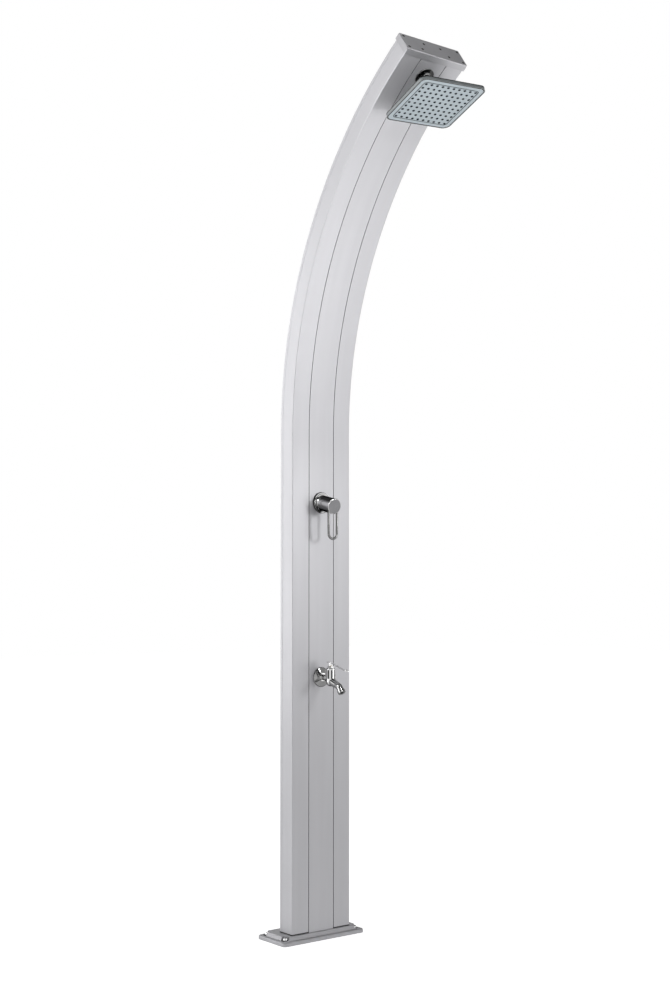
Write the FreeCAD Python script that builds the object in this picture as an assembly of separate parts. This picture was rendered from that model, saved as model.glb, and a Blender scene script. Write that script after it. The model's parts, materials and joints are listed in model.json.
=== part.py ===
import FreeCAD, Part
import math
import os

from FreeCAD import Placement, Rotation, Vector

# Outdoor shower post: a flat aluminium column, bent forwards at the top, on a two-tier foot.
# Millimetres, +Z up. The origin is the middle of the four floor bolts, on the ground.
# The front of the post faces -Y and X runs across its width.

# ---- Column ----
column_width = 200.0
column_depth = 56.5
column_wall = 2.5
column_corner_radius = 2.0
side_line_inset = 10.0       # of the shallow line on each side face, from the back
side_line_width = 1.0
side_line_depth = 0.5
column_forward = 16.5        # middle of the column ahead of the middle of the foot
bend_start = 1397.3          # height at which the straight part ends
bend_radius = 1129.5         # of the front face
bend_angle = 55.4            # degrees

# ---- Front panel between the two side strips ----
strip_width = 56.05
groove_width = 1.9
panel_thickness = 2.6
panel_seat_gap = 0.1
panel_leg_depth = 12.0
panel_leg_thickness = 1.6
panel_leg_gap = 0.3          # to the ledge's edge
lip_depth = 13.0             # side strips turn back into the column this far
lip_thickness = 2.0
ledge_width = 4.0
ledge_thickness = 2.0

# ---- Screw ports inside the column, and the screws in them ----
port_hole_radius = 2.1
port_wall_radius = 4.5
corner_port_inset = 7.2
corner_port_radius = 5.2
rib_port_x = 28.5
rib_port_depth = 17.4        # from the back face
rib_thickness = 2.0
screw_clearance = 0.05
screw_length = 16.0
screw_head_radius = 4.0
screw_head_height = 2.4
screw_socket_across = 2.5
screw_socket_depth = 1.6
screw_rim = 0.3
screw_tip_length = 1.5
screw_tip_radius = 0.9
foot_screw_length = 36.0
screw_hole_radius = 2.5      # in the plates

# ---- Foot ----
foot_width = column_width + 77.7
foot_depth = column_depth + 69.7
foot_ledge_height = 11.5
foot_height = 21.5
foot_corner_radius = 10.0
foot_ledge_width = 9.0
foot_slope_width = 5.5
foot_top_round = 2.0
foot_edge_round = 4.5
foot_seal_thickness = 3.0
foot_panel_gap = 0.2
drain_radius = 1.6
drain_depth = 10.0
drain_x = 4.0
drain_height = 4.5
bolt_spacing_x = column_width + 40.0
bolt_spacing_y = column_depth + 27.5
bolt_hole_radius = 5.5
bolt_pocket_radius = 11.0
bolt_pocket_floor = 8.0
washer_radius = 9.0
washer_thickness = 1.6
washer_bore_radius = 4.3
nut_across = 13.0
nut_hex_height = 5.2
nut_height = 10.0
nut_bore_radius = 4.1
nut_bore_depth = 7.0
nut_dome_radius = 6.0
nut_chamfer = 0.6

# ---- Top cap ----
cap_plate_thickness = 2.6
cap_skirt = 14.5             # the skirt reaches this far down the column
cap_skirt_thickness = 2.4
cap_gap = 0.6
cap_edge_round = 2.2
cap_rim_round = 2.1
cap_notch = 2.6
cap_notch_height = 5.6
gasket_thickness = 1.0
gasket_inset = 0.5

# ---- Mixer: a single lever, with its pivot level with the front face ----
mixer_height = 1200.0
mixer_hole_radius = 21.5
mixer_neck_radius = 21.0
mixer_seal_radius = 28.6
mixer_seal_thickness = 1.8
mixer_flange_radius = 29.0
mixer_flange_step_radius = 25.2
mixer_flange_edge = 5.0      # height of the outer step over the face
mixer_flange_height = 7.4
mixer_flange_chamfer = 1.1
mixer_neck_sunk = 0.6        # the neck ends this far inside the flange
mixer_shoulder_radius = 25.0
mixer_shoulder_thickness = 4.0
mixer_washer_thickness = 1.0
mixer_housing_depth = 38.0
mixer_well_radius = 13.5     # below the cartridge
mixer_floor = 3.0
cartridge_radius = 17.5
cartridge_back = 31.0        # how far the cartridge reaches behind the front face
cartridge_front = 2.0
cartridge_nut_front = 16.0
cartridge_nut_tip_radius = 14.0
cartridge_nut_bore = 10.2
cartridge_nut_flat = 2.4     # from its tip to its shoulder
cartridge_nut_chamfer = 1.2
cartridge_ports = ((-5.0, -3.5), (5.0, -3.5), (0.0, 5.0))
cartridge_port_radius = 2.4
cartridge_fit = 0.1
rotor_radius = 12.0
rotor_back = 14.0
rotor_front = 5.0
rotor_slot_depth = 8.5
rotor_slot_half = 10.0
disc_thickness = 4.0
spindle_across = 7.0
spindle_back = 7.0
spindle_front = 44.0
spindle_slot_gap = 0.25
spindle_pin_radius = 1.6
spindle_pin_length = 21.6
hub_radius = 21.9
hub_wall = 1.6
hub_back = 13.0
hub_front = 61.0
hub_core_back = 36.0         # the hub is solid from here to its end disc
hub_boss_back = 26.0
hub_boss_radius = 7.0
hub_disc_thickness = 1.2
hub_disc_gap = 0.15
hub_screw_radius = 2.4
hub_screw_head_radius = 4.4
hub_screw_head = 4.0
hub_screw_length = 20.0
hub_screw_socket = 4.0
hub_screw_socket_depth = 2.2
hub_grub_radius = 2.5
hub_grub_length = 10.0
hub_grub_socket = 2.5
hub_grub_socket_depth = 2.5
hub_grub_along = 40.0
hub_edge_round = 1.2
lever_wire_radius = 3.2
lever_half_width = 14.5
lever_reach = 91.0           # hub axis to the bottom of the loop
lever_root = 9.0
lever_behind_end = 8.0       # where the loop's plane meets the hub's axis, from its end
lever_socket_gap = 0.05
mixer_closed_tilt = 12.0     # the closed hub points this far down, and its loop hangs upright

# ---- Foot tap ----
tap_height = 715.0
tap_rose_radius = 27.0
tap_rose_edge = 2.4
tap_rose_height = 7.0
tap_rose_hub_radius = 13.0
rose_chamfer = 0.9
tap_shank_back = 24.0
tap_neck_radius = 8.4
tap_neck_start = 9.0
tap_barrel_out = 42.5        # middle of the barrel in front of the face
tap_barrel_radius = 13.0
tap_barrel_top = 26.0
tap_barrel_bottom = 10.2      # the barrel ends in a half ball around this depth
tap_flutes = 8
tap_flute_radius = 3.2
tap_flute_depth = 1.6
tap_barrel_round = 2.0
tap_collar_width = 3.0
tap_collar_height = 1.6
tap_collar_back = 18.5       # behind the barrel's middle
tap_spout_radius = 9.2
tap_spout_root_radius = 12.0
tap_spout_root_length = 28.0   # the spout tapers over this length
tap_spout_start_down = 8.4
tap_spout_bore = 5.5
tap_spout_knee_out = 80.7
tap_spout_knee_down = 22.2
tap_spout_knee_radius = 15.0
tap_spout_end_out = 91.5
tap_spout_end_down = 36.5
tap_nozzle_radius = 10.6
tap_nozzle_length = 8.0
tap_nozzle_overlap = 6.0
tap_thread_depth = 1.0
tap_nozzle_grooves = (2.4, 5.2)
tap_nozzle_groove_width = 0.8
tap_nozzle_groove_depth = 0.5
tap_chamber_radius = 8.0
tap_inlet_reach = 2.0         # the inlet breaks into the chamber by this much
tap_bonnet_across = 15.0
tap_bonnet_top = 32.0
tap_bonnet_body_radius = 7.9
tap_bonnet_bottom = 8.0
tap_bonnet_cover_radius = 9.8
tap_bonnet_cover = 1.6
tap_collar_top = 17.0
tap_spindle_radius = 3.5
tap_spindle_collar_radius = 5.5
tap_disc_radius = 7.0
tap_disc_thickness = 2.5
tap_disc_bottom = 0.2
tap_disc_port_radius = 2.0
tap_disc_port_out = 3.8
face_gap = 0.05              # between flat faces that slide on each other
tap_lever_hub_radius = 6.6
tap_lever_hub_bottom = 33.0
tap_lever_hub_top = 41.5
tap_lever_cover = 2.5        # metal above the spindle's end
tap_arm_half_width = 3.4
tap_arm_half_thickness = 2.0
tap_arm_end_radius = 2.6
tap_arm_back = (29.0, 43.5)   # out from the face, up from the tap's axis
tap_arm_middle = (62.0, 36.5)
tap_arm_front = (97.0, 25.5)
tap_eye_centre = (113.5, 22.6)
tap_arm_bend_radius = 60.0
tap_eye_radius = 5.4
tap_eye_wire_radius = 2.0
tap_screw_radius = 1.6
tap_screw_head_radius = 3.2
tap_screw_head_height = 1.6
tap_screw_length = 7.0
tap_screw_slot = 1.0
tap_screw_room = 0.2
tap_screw_slot_depth = 0.7

# ---- Shower arm and head ----
shower_angle = 52.28         # along the bend, degrees
shower_pivot_out = 52.6      # ball centre in front of the face
shower_rose_radius = 26.0
shower_rose_edge = 2.0
shower_rose_height = 8.0
shower_rose_hub_radius = 13.0
stem_bore_radius = 3.4
stem_hex_across = 21.0
stem_hex_start = 8.4
stem_hex_length = 9.0
stem_cone_length = 6.0
stem_shank_back = 24.0
ball_radius = 12.5
stem_neck_radius = 0.448 * ball_radius
liner_thickness = 0.9
liner_half_height = 0.56 * ball_radius
running_gap = 0.06           # radial, between round pieces that turn in each other
swivel_nut_radius = 18.0
swivel_nut_bottom = 23.0     # below the ball's centre
swivel_nut_top = 8.4
swivel_opening_angle = 61.0  # half-angle of the nut's mouth
swivel_chamfer = 1.1
swivel_flare = 1.4
swivel_grips = 18
swivel_grip_radius = 1.1
inlet_thread_radius = 13.6
inlet_boss_top = 15.0        # below the ball's centre
inlet_flange_radius = 17.0
inlet_flange_thickness = 2.0
inlet_boss_bore = 6.0
filter_seat_radius = 9.0
filter_seat_depth = 3.0
filter_bore = 4.0
ball_seat_radius = 12.8
ball_seat_bore = 5.5
ball_seat_thickness = 5.0
filter_thickness = 1.6
head_size = 196.0
head_corner_radius = 19.0
head_face_drop = 45.0        # ball centre to the nozzle face
head_edge_height = 9.0
head_back_rise = 6.0
head_back_size = 128.0
head_wall = 2.4
head_collar_radius = 17.0
head_collar_height = 4.0
face_margin = 3.0            # metal rim round the face plate
face_gap_round = 0.15
face_chamfer = 0.8
face_thickness = 3.4
face_groove_size = 167.0
face_groove_radius = 10.0
face_groove_width = 2.6
face_groove_depth = 1.2
nozzles_per_side = 10
nozzle_pitch = 16.67
nozzle_radius = 3.5
nozzle_length = 1.2          # how far a nozzle stands out of the face
nozzle_bore_radius = 0.6
nozzle_bore_depth = 2.0
nozzle_gap = 0.12
nozzle_tip_chamfer = 0.6
mat_thickness = 1.8
mat_margin = 8.0
head_tilt = 14.7             # of the face, forwards from level
head_side_tilt = 1.1
head_turn = 8.8

# ---- Water pipes inside the column ----
pipe_depth = 26.0            # behind the front face
pipe_thread_radius = 10.4    # of the half-inch threads
pipe_thread_clearance = 0.05
pipe_hole_radius = 11.0
locknut_across = 27.0
locknut_thickness = 5.0
elbow_sleeve_radius = 13.6
elbow_sleeve_front = 10.0
elbow_sleeve_back = 35.0
tail_radius = 7.5            # of the small threads that the hoses screw to
tail_bore = 4.0
tail_length = 32.0
hose_radius = 6.0
hose_bore = 4.0
hose_nut_across = 19.0
hose_nut_half = 8.0
hose_nut_gap = 0.12          # round the hose
hose_corner_radius = 60.0
hose_start_run = 90.0        # straight up from each inlet
hose_slant_run = 180.0
hose_top_slant = 150.0
hose_top_run = 60.0
hose_side_x = 37.0
mixer_tail_x = 15.0
mixer_tail_length = 42.0
inlet_x = 60.0
inlet_height = 150.0
inlet_free_radius = 10.48
inlet_free_length = 12.0
inlet_thread_length = 9.0
inlet_thread_radius_sunk = 10.1
inlet_bore = 7.0
inlet_body_radius = 10.6
inlet_nut_across = 24.0
inlet_nut_bore = 10.15
tee_body_radius = 9.5
inlet_shoulder_radius = 14.0
inlet_shoulder_thickness = 3.0
inlet_washer_radius = 14.0
inlet_washer_thickness = 1.5
inlet_tail_length = 36.0
tee_branch_rise = 56.0
tee_branch_length = 18.0
tee_tail_length = 84.0
tap_hose_corner = 34.0
clip_width = 12.0
clip_wall = 2.0
clip_gap = 0.1
clip_foot_width = 14.0
clip_foot_thickness = 3.0
clip_seat_gap = 0.15
clip_angles = (-4.0, 11.0, 24.0, 37.0)   # along the bend, degrees

# ---- Worked out from the sizes above ----
front_y = -column_forward - column_depth / 2
back_y = front_y + column_depth
column_foot = foot_height + foot_seal_thickness
panel_width = column_width - 2 * strip_width - 2 * groove_width
panel_opening = column_width - 2 * strip_width
bend_axis = Vector(0, front_y - bend_radius, bend_start)
port_spots = [
    (side * x, depth)
    for side in (-1, 1)
    for x, depth in (
        (column_width / 2 - corner_port_inset, corner_port_inset),
        (column_width / 2 - corner_port_inset, column_depth - corner_port_inset),
        (panel_opening / 2 + lip_thickness, lip_depth),
        (rib_port_x, column_depth - rib_port_depth),
    )
]
thread_bore = pipe_thread_radius + pipe_thread_clearance
past = 1.0                   # a cut runs this far past the face that it opens

UP = Vector(0, 0, 1)
X_AXIS = Vector(1, 0, 0)
Y_AXIS = Vector(0, 1, 0)


# ---- Helpers ----
def cylinder(radius, low, high, x=0.0, y=0.0):
    """A cylinder along Z from low to high."""
    return Part.makeCylinder(radius, high - low, Vector(x, y, low), UP)


def ring(outer, inner, low, high, x=0.0, y=0.0):
    """A tube along Z; the hole runs past both ends."""
    return cylinder(outer, low, high, x, y).cut(cylinder(inner, low - past, high + past, x, y))


def box(x0, x1, y0, y1, z0, z1):
    return Part.makeBox(x1 - x0, y1 - y0, z1 - z0, Vector(x0, y0, z0))


def turned(outline):
    """A solid turned about Z from (radius, height) points; the outline starts and ends anywhere."""
    points = [Vector(radius, 0, height) for radius, height in outline]
    wire = Part.makePolygon(points + [points[0]])
    return Part.Face(wire).revolve(Vector(0, 0, 0), UP, 360)


def hexagon(across, low, high):
    """A hexagonal prism along Z, flat side to flat side across."""
    radius = across / math.sqrt(3)
    points = [
        Vector(radius * math.cos(math.radians(60 * i)), radius * math.sin(math.radians(60 * i)), low)
        for i in range(7)
    ]
    return Part.Face(Part.makePolygon(points)).extrude(Vector(0, 0, high - low))


def rounded_wire(width, depth, radius, height):
    """A closed rounded rectangle about the Z axis."""
    half_x = width / 2
    half_y = depth / 2
    edges = []
    for i, (sx, sy) in enumerate(((1, 1), (-1, 1), (-1, -1), (1, -1))):
        centre = Vector(sx * (half_x - radius), sy * (half_y - radius), height)
        circle = Part.Circle(centre, UP, radius)
        start = math.radians(90 * i)
        edges.append(Part.Arc(circle, start, start + math.pi / 2).toShape())
    joined = []
    for i, edge in enumerate(edges):
        following = edges[(i + 1) % 4]
        start = edge.valueAt(edge.LastParameter)
        end = following.valueAt(following.FirstParameter)
        joined.extend([edge, Part.LineSegment(start, end).toShape()])
    return Part.Wire(joined)


def rounded_plate(width, depth, radius, low, high):
    wire = rounded_wire(width, depth, radius, low)
    return Part.Face(wire).extrude(Vector(0, 0, high - low))


def turn(shape, degrees, axis, centre=Vector(0, 0, 0)):
    moved = shape.copy()
    moved.rotate(centre, axis, degrees)
    return moved


def shift(shape, x=0.0, y=0.0, z=0.0):
    moved = shape.copy()
    moved.translate(Vector(x, y, z))
    return moved


def on_front(shape, height):
    """From a fitting's own frame, x across, y up and z out of the front face, to its place."""
    return shift(turn(shape, 90, X_AXIS), 0, front_y, height)


def along_bend(shape, degrees):
    """Carries a shape from the start of the bend along the bend."""
    return turn(shape, degrees, X_AXIS, bend_axis)


def on_bend(shape, degrees):
    """The same as on_front, at an angle along the bend."""
    return along_bend(on_front(shape, bend_start), degrees)


def route(points, radius):
    """A path of straight runs joined by tangent arcs; radius is one number or one for each corner."""
    corners = [Vector(*p) for p in points]
    radii = radius if isinstance(radius, (list, tuple)) else [radius] * (len(corners) - 2)
    edges = []
    last = corners[0]
    for i in range(1, len(corners) - 1):
        before = (corners[i - 1] - corners[i]).normalize()
        after = (corners[i + 1] - corners[i]).normalize()
        turn_angle = math.pi - before.getAngle(after)
        reach = radii[i - 1] * math.tan(turn_angle / 2)
        start = corners[i] + before * reach
        end = corners[i] + after * reach
        inwards = (before + after).normalize()
        middle = corners[i] + inwards * (radii[i - 1] / math.cos(turn_angle / 2) - radii[i - 1])
        edges.append(Part.LineSegment(last, start).toShape())
        edges.append(Part.Arc(start, middle, end).toShape())
        last = end
    edges.append(Part.LineSegment(last, corners[-1]).toShape())
    return Part.Wire(edges)


def rod(path, radius):
    """A round rod along a path."""
    start = path.Edges[0].valueAt(path.Edges[0].FirstParameter)
    direction = path.Edges[0].tangentAt(path.Edges[0].FirstParameter)
    section = Part.Wire(Part.Circle(start, direction, radius).toShape())
    return path.makePipeShell([section], True, False)


def hose(path):
    return rod(path, hose_radius).cut(rod(path, hose_bore))


def save(name, shape):
    """Writes one sub-part; a list is a group of separate solids."""
    solids = [s for piece in (shape if isinstance(shape, list) else [shape]) for s in piece.Solids]
    whole = solids[0] if len(solids) == 1 else Part.makeCompound(solids)
    whole.exportStep("parts/%s.step" % name)


# ---- Column and front panel ----
def plan(x0, x1, depth0, depth1):
    """A flat rectangle of the column's section; depth is measured from the front face."""
    return Part.Face(
        Part.makePolygon(
            [
                Vector(x0, front_y + depth0, 0),
                Vector(x1, front_y + depth0, 0),
                Vector(x1, front_y + depth1, 0),
                Vector(x0, front_y + depth1, 0),
                Vector(x0, front_y + depth0, 0),
            ]
        )
    )


def plan_disc(x, depth, radius):
    circle = Part.Circle(Vector(x, front_y + depth, 0), UP, radius)
    return Part.Face(Part.Wire(circle.toShape()))


def plan_outline(inset, radius):
    wire = rounded_wire(column_width - 2 * inset, column_depth - 2 * inset, radius, 0)
    return shift(Part.Face(wire), 0, -column_forward, 0)


def column_section():
    half_opening = panel_opening / 2
    section = plan_outline(0, column_corner_radius)
    section = section.cut(plan_outline(column_wall, column_corner_radius / 2))
    section = section.cut(plan(-half_opening, half_opening, -past, column_wall + past))
    for side in (-1, 1):
        edges = sorted((side * half_opening, side * (half_opening + lip_thickness)))
        section = section.fuse(plan(edges[0], edges[1], 0, lip_depth))
        ledge = sorted((side * (half_opening - ledge_width), side * half_opening))
        ledge_top = panel_thickness + panel_seat_gap
        section = section.fuse(plan(ledge[0], ledge[1], ledge_top, ledge_top + ledge_thickness))
        rib = sorted((side * (rib_port_x - rib_thickness / 2), side * (rib_port_x + rib_thickness / 2)))
        rib_front = column_depth - rib_port_depth
        section = section.fuse(plan(rib[0], rib[1], rib_front, column_depth - column_wall / 2))
    for x, depth in port_spots:
        at_corner = abs(x) > panel_opening / 2 + lip_depth
        section = section.fuse(plan_disc(x, depth, corner_port_radius if at_corner else port_wall_radius))
    section = section.common(plan_outline(0, column_corner_radius))
    for x, depth in port_spots:
        section = section.cut(plan_disc(x, depth, port_hole_radius))
    line_back = column_depth - side_line_inset
    for side in (-1, 1):
        line = sorted((side * (column_width / 2 - side_line_depth), side * (column_width / 2 + past)))
        section = section.cut(plan(line[0], line[1], line_back - side_line_width, line_back))
    return section.removeSplitter()


def panel_section():
    half = panel_width / 2
    section = plan(-half, half, 0, panel_thickness)
    leg_outer = panel_opening / 2 - ledge_width - panel_leg_gap
    for side in (-1, 1):
        leg = sorted((side * leg_outer, side * (leg_outer - panel_leg_thickness)))
        section = section.fuse(plan(leg[0], leg[1], panel_thickness / 2, panel_leg_depth))
    return section.removeSplitter()


def bent_bar(section, foot):
    """Runs a section of the column straight up from its foot, then round the bend."""
    face = section.Faces[0]
    straight = shift(face, 0, 0, foot).extrude(Vector(0, 0, bend_start - foot))
    bent = shift(face, 0, 0, bend_start).revolve(bend_axis, X_AXIS, bend_angle)
    return straight.fuse(bent).removeSplitter()


def column_profile():
    bar = bent_bar(column_section(), column_foot)
    for side in (-1, 1):
        hole = turn(cylinder(pipe_hole_radius, -past, column_wall + past), 90, X_AXIS)
        bar = bar.cut(shift(hole, side * inlet_x, back_y, inlet_height))
    return bar


def front_panel():
    panel = bent_bar(panel_section(), foot_height + foot_panel_gap)
    pipe_hole = cylinder(pipe_hole_radius, -panel_thickness - past, past)
    mixer_hole = cylinder(mixer_hole_radius, -panel_thickness - past, past)
    panel = panel.cut(on_front(mixer_hole, mixer_height)).cut(on_front(pipe_hole, tap_height))
    return panel.cut(on_bend(pipe_hole, shower_angle))


# ---- Screws, foot and cap ----
def countersunk_screw(length):
    """Head up, its flat top at z = 0."""
    shank = port_hole_radius - screw_clearance
    body = turned(
        [
            (0, 0),
            (screw_head_radius, 0),
            (screw_head_radius, -screw_rim),
            (shank, -screw_head_height),
            (shank, -length + screw_tip_length),
            (screw_tip_radius, -length),
            (0, -length),
        ]
    )
    return body.cut(hexagon(screw_socket_across, -screw_socket_depth, past))


def countersink(depth):
    """The hole for a countersunk screw, from above z = 0 down to a depth."""
    flare = screw_head_radius + screw_clearance
    return turned(
        [
            (0, past),
            (flare, past),
            (flare, -screw_rim - screw_clearance),
            (screw_hole_radius, -screw_head_height - screw_clearance),
            (screw_hole_radius, -depth),
            (0, -depth),
        ]
    )


def frustum(width, depth, low, high, inset, radius):
    """A rounded block whose sides lean in by inset from bottom to top."""
    bottom = rounded_wire(width, depth, radius, low)
    top = rounded_wire(width - 2 * inset, depth - 2 * inset, radius - inset / 2, high)
    return Part.makeLoft([bottom, top], True, True)


def bolt_spots():
    return [(sx * bolt_spacing_x / 2, sy * bolt_spacing_y / 2) for sx in (-1, 1) for sy in (-1, 1)]


def foot_plate():
    ledge = rounded_plate(foot_width, foot_depth, foot_corner_radius, 0, foot_ledge_height)
    top_edges = [e for e in ledge.Edges if e.BoundBox.ZMin > foot_ledge_height - 0.01]
    ledge = ledge.makeFillet(foot_edge_round, top_edges)
    upper = frustum(
        foot_width - 2 * foot_ledge_width,
        foot_depth - 2 * foot_ledge_width,
        foot_ledge_height - past,
        foot_height,
        foot_slope_width,
        foot_corner_radius - 1,
    )
    top_edges = [e for e in upper.Edges if e.BoundBox.ZMin > foot_height - 0.01]
    upper = upper.makeFillet(foot_top_round, top_edges)
    plate = ledge.fuse(upper).removeSplitter()
    for x, y in bolt_spots():
        plate = plate.cut(cylinder(bolt_pocket_radius, bolt_pocket_floor, foot_height + past, x, y))
        plate = plate.cut(cylinder(bolt_hole_radius, -past, bolt_pocket_floor + past, x, y))
    for x, depth in port_spots:
        hole = shift(turn(countersink(foot_height + past), 180, X_AXIS), x, front_y + depth, 0)
        plate = plate.cut(hole)
    drain = turn(cylinder(drain_radius, -drain_depth, past), 90, X_AXIS)
    return plate.cut(shift(drain, drain_x, -foot_depth / 2, drain_height))


def foot_seal():
    return shift(column_section().Faces[0], 0, 0, foot_height).extrude(Vector(0, 0, foot_seal_thickness))


def foot_screws():
    """They come up from under the foot into the column's screw ports."""
    screw = turn(countersunk_screw(foot_screw_length), 180, X_AXIS)
    return [shift(screw, x, front_y + depth, 0) for x, depth in port_spots]


def washers():
    top = bolt_pocket_floor + washer_thickness
    washer = ring(washer_radius, washer_bore_radius, bolt_pocket_floor, top)
    return [shift(washer, x, y, 0) for x, y in bolt_spots()]


def dome_nuts():
    """Hexagon nuts with a domed end; the corners of the hexagon are chamfered at its top."""
    corner = nut_across / math.sqrt(3)
    slope = nut_chamfer / (corner - nut_across / 2)
    limit = turned(
        [
            (0, 0),
            (corner + past, 0),
            (corner + past, nut_hex_height - nut_chamfer - slope * past),
            (nut_across / 2, nut_hex_height),
            (0, nut_hex_height),
        ]
    )
    nut = hexagon(nut_across, 0, nut_hex_height).common(limit)
    shoulder = nut_height - nut_dome_radius
    nut = nut.fuse(cylinder(nut_dome_radius, 0, shoulder))
    dome = Part.makeSphere(nut_dome_radius, Vector(0, 0, shoulder), UP, 0, 90)
    nut = nut.fuse(dome).removeSplitter().cut(cylinder(nut_bore_radius, -past, nut_bore_depth))
    return [shift(nut, x, y, bolt_pocket_floor + washer_thickness) for x, y in bolt_spots()]


def cap_gasket():
    width = column_width - 2 * gasket_inset
    depth = column_depth - 2 * gasket_inset
    sheet = rounded_plate(width, depth, column_corner_radius, 0, gasket_thickness)
    sheet = shift(sheet, 0, -column_forward, bend_start)
    hole = cylinder(screw_hole_radius, bend_start - past, bend_start + gasket_thickness + past)
    for x, spot_depth in port_spots:
        sheet = sheet.cut(shift(hole, x, front_y + spot_depth, 0))
    return along_bend(sheet, bend_angle)


def cap_top():
    """The height of the cap's top before it is carried along the bend."""
    return bend_start + gasket_thickness + cap_plate_thickness


def top_cap():
    """A folded cap: a plate and four skirts, with a small notch at the front corners."""
    reach = cap_gap + cap_skirt_thickness
    low = bend_start - cap_skirt
    high = cap_top()
    outer = rounded_plate(column_width + 2 * reach, column_depth + 2 * reach, cap_edge_round, low, high)
    rims = [e for e in outer.Edges if e.BoundBox.ZMin > high - 0.01]
    outer = outer.makeFillet(cap_rim_round, rims)
    inner_width = column_width + 2 * cap_gap
    inner_depth = column_depth + 2 * cap_gap
    plate_bottom = high - cap_plate_thickness
    inner = rounded_plate(inner_width, inner_depth, column_corner_radius, low - past, plate_bottom)
    cap = shift(outer.cut(inner), 0, -column_forward, 0)
    hole = countersink(cap_plate_thickness + past)
    for x, depth in port_spots:
        cap = cap.cut(shift(hole, x, front_y + depth, high))
    for side in (-1, 1):
        corner_x = side * (column_width / 2 + reach)
        notch = box(-cap_notch, cap_notch, -past, cap_notch, -cap_notch_height, past)
        cap = cap.cut(shift(notch, corner_x, front_y - reach, high))
    return along_bend(cap, bend_angle)


def cap_screws():
    screw = countersunk_screw(screw_length)
    screws = [shift(screw, x, front_y + depth, cap_top()) for x, depth in port_spots]
    return [along_bend(screw, bend_angle) for screw in screws]


# ---- Mixer. Its own frame: x across, y up, z out of the front face ----
def closed_handle(shape):
    """Puts a piece of the handle, drawn along the mixer's axis, at the closed position."""
    return on_front(turn(shape, mixer_closed_tilt, X_AXIS), mixer_height)


def on_loop(shape):
    """From the loop's own plane, which leans by the closed tilt, to the hub's frame."""
    return shift(turn(shape, -mixer_closed_tilt, X_AXIS), 0, 0, hub_front - lever_behind_end)


def mixer_seal():
    return on_front(ring(mixer_seal_radius, mixer_hole_radius, 0, mixer_seal_thickness), mixer_height)


def mixer_flange():
    bore = mixer_neck_radius + pipe_thread_clearance
    body = turned(
        [
            (bore, mixer_seal_thickness),
            (mixer_flange_radius, mixer_seal_thickness),
            (mixer_flange_radius, mixer_flange_edge - mixer_flange_chamfer),
            (mixer_flange_radius - mixer_flange_chamfer, mixer_flange_edge),
            (mixer_flange_step_radius, mixer_flange_edge),
            (mixer_flange_step_radius - mixer_flange_chamfer, mixer_flange_height),
            (bore, mixer_flange_height),
        ]
    )
    return on_front(body, mixer_height)


def mixer_washer():
    back = -panel_thickness - mixer_washer_thickness
    return on_front(ring(mixer_shoulder_radius, mixer_hole_radius, back, -panel_thickness), mixer_height)


def pipe_tail(x, y0, y1):
    """A vertical pipe in a fitting's frame, at the depth of the pipes."""
    low, high = sorted((y0, y1))
    return shift(turn(cylinder(tail_radius, low, high), -90, X_AXIS), x, 0, -pipe_depth)


def pipe_bore(x, y0, y1):
    """The water's way in such a pipe."""
    low, high = sorted((y0, y1))
    return shift(turn(cylinder(tail_bore, low, high), -90, X_AXIS), x, 0, -pipe_depth)


def mixer_body():
    front = mixer_flange_height - mixer_neck_sunk
    shoulder = -panel_thickness - mixer_washer_thickness
    body = cylinder(mixer_neck_radius, -mixer_housing_depth, front)
    body = body.fuse(cylinder(mixer_shoulder_radius, shoulder - mixer_shoulder_thickness, shoulder))
    spots = ((-mixer_tail_x, -1), (mixer_tail_x, -1), (0, 1))
    for x, way in spots:
        body = body.fuse(pipe_tail(x, way * mixer_tail_length, way * mixer_tail_length / 4))
    body = body.removeSplitter()
    body = body.cut(cylinder(cartridge_radius + cartridge_fit, -cartridge_back, front + past))
    body = body.cut(cylinder(mixer_well_radius, -mixer_housing_depth + mixer_floor, -cartridge_back + past))
    for x, way in spots:
        body = body.cut(pipe_bore(x, way * (mixer_tail_length + past), 0))
    return on_front(body, mixer_height)


def cartridge_housing():
    """A closed can; its front has the well that the rotor turns in."""
    body = cylinder(cartridge_radius, -cartridge_back, cartridge_front)
    well = cylinder(rotor_radius + running_gap, -rotor_back - disc_thickness, cartridge_front + past)
    return on_front(body.cut(well), mixer_height)


def cartridge_disc():
    """The fixed ceramic disc, with its two inlets and one outlet."""
    low = -rotor_back - disc_thickness
    high = -rotor_back - face_gap
    disc = cylinder(rotor_radius - cartridge_fit, low, high)
    for x, y in cartridge_ports:
        disc = disc.cut(cylinder(cartridge_port_radius, low - past, high + past, x, y))
    return on_front(disc, mixer_height)


def cartridge_rotor():
    """It turns in the cartridge with the handle and holds the pin that the spindle tilts on."""
    half = spindle_across / 2 + spindle_slot_gap
    body = cylinder(rotor_radius, -rotor_back, rotor_front)
    slot = box(-half, half, -rotor_slot_half, rotor_slot_half, -rotor_slot_depth, rotor_front + past)
    body = body.cut(slot)
    pin_hole = turn(cylinder(spindle_pin_radius, -rotor_radius - past, rotor_radius + past), 90, Y_AXIS)
    return on_front(body.cut(pin_hole), mixer_height)


def spindle_pin():
    half = spindle_pin_length / 2
    pin = turn(cylinder(spindle_pin_radius, -half, half), 90, Y_AXIS)
    return on_front(pin, mixer_height)


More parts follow.
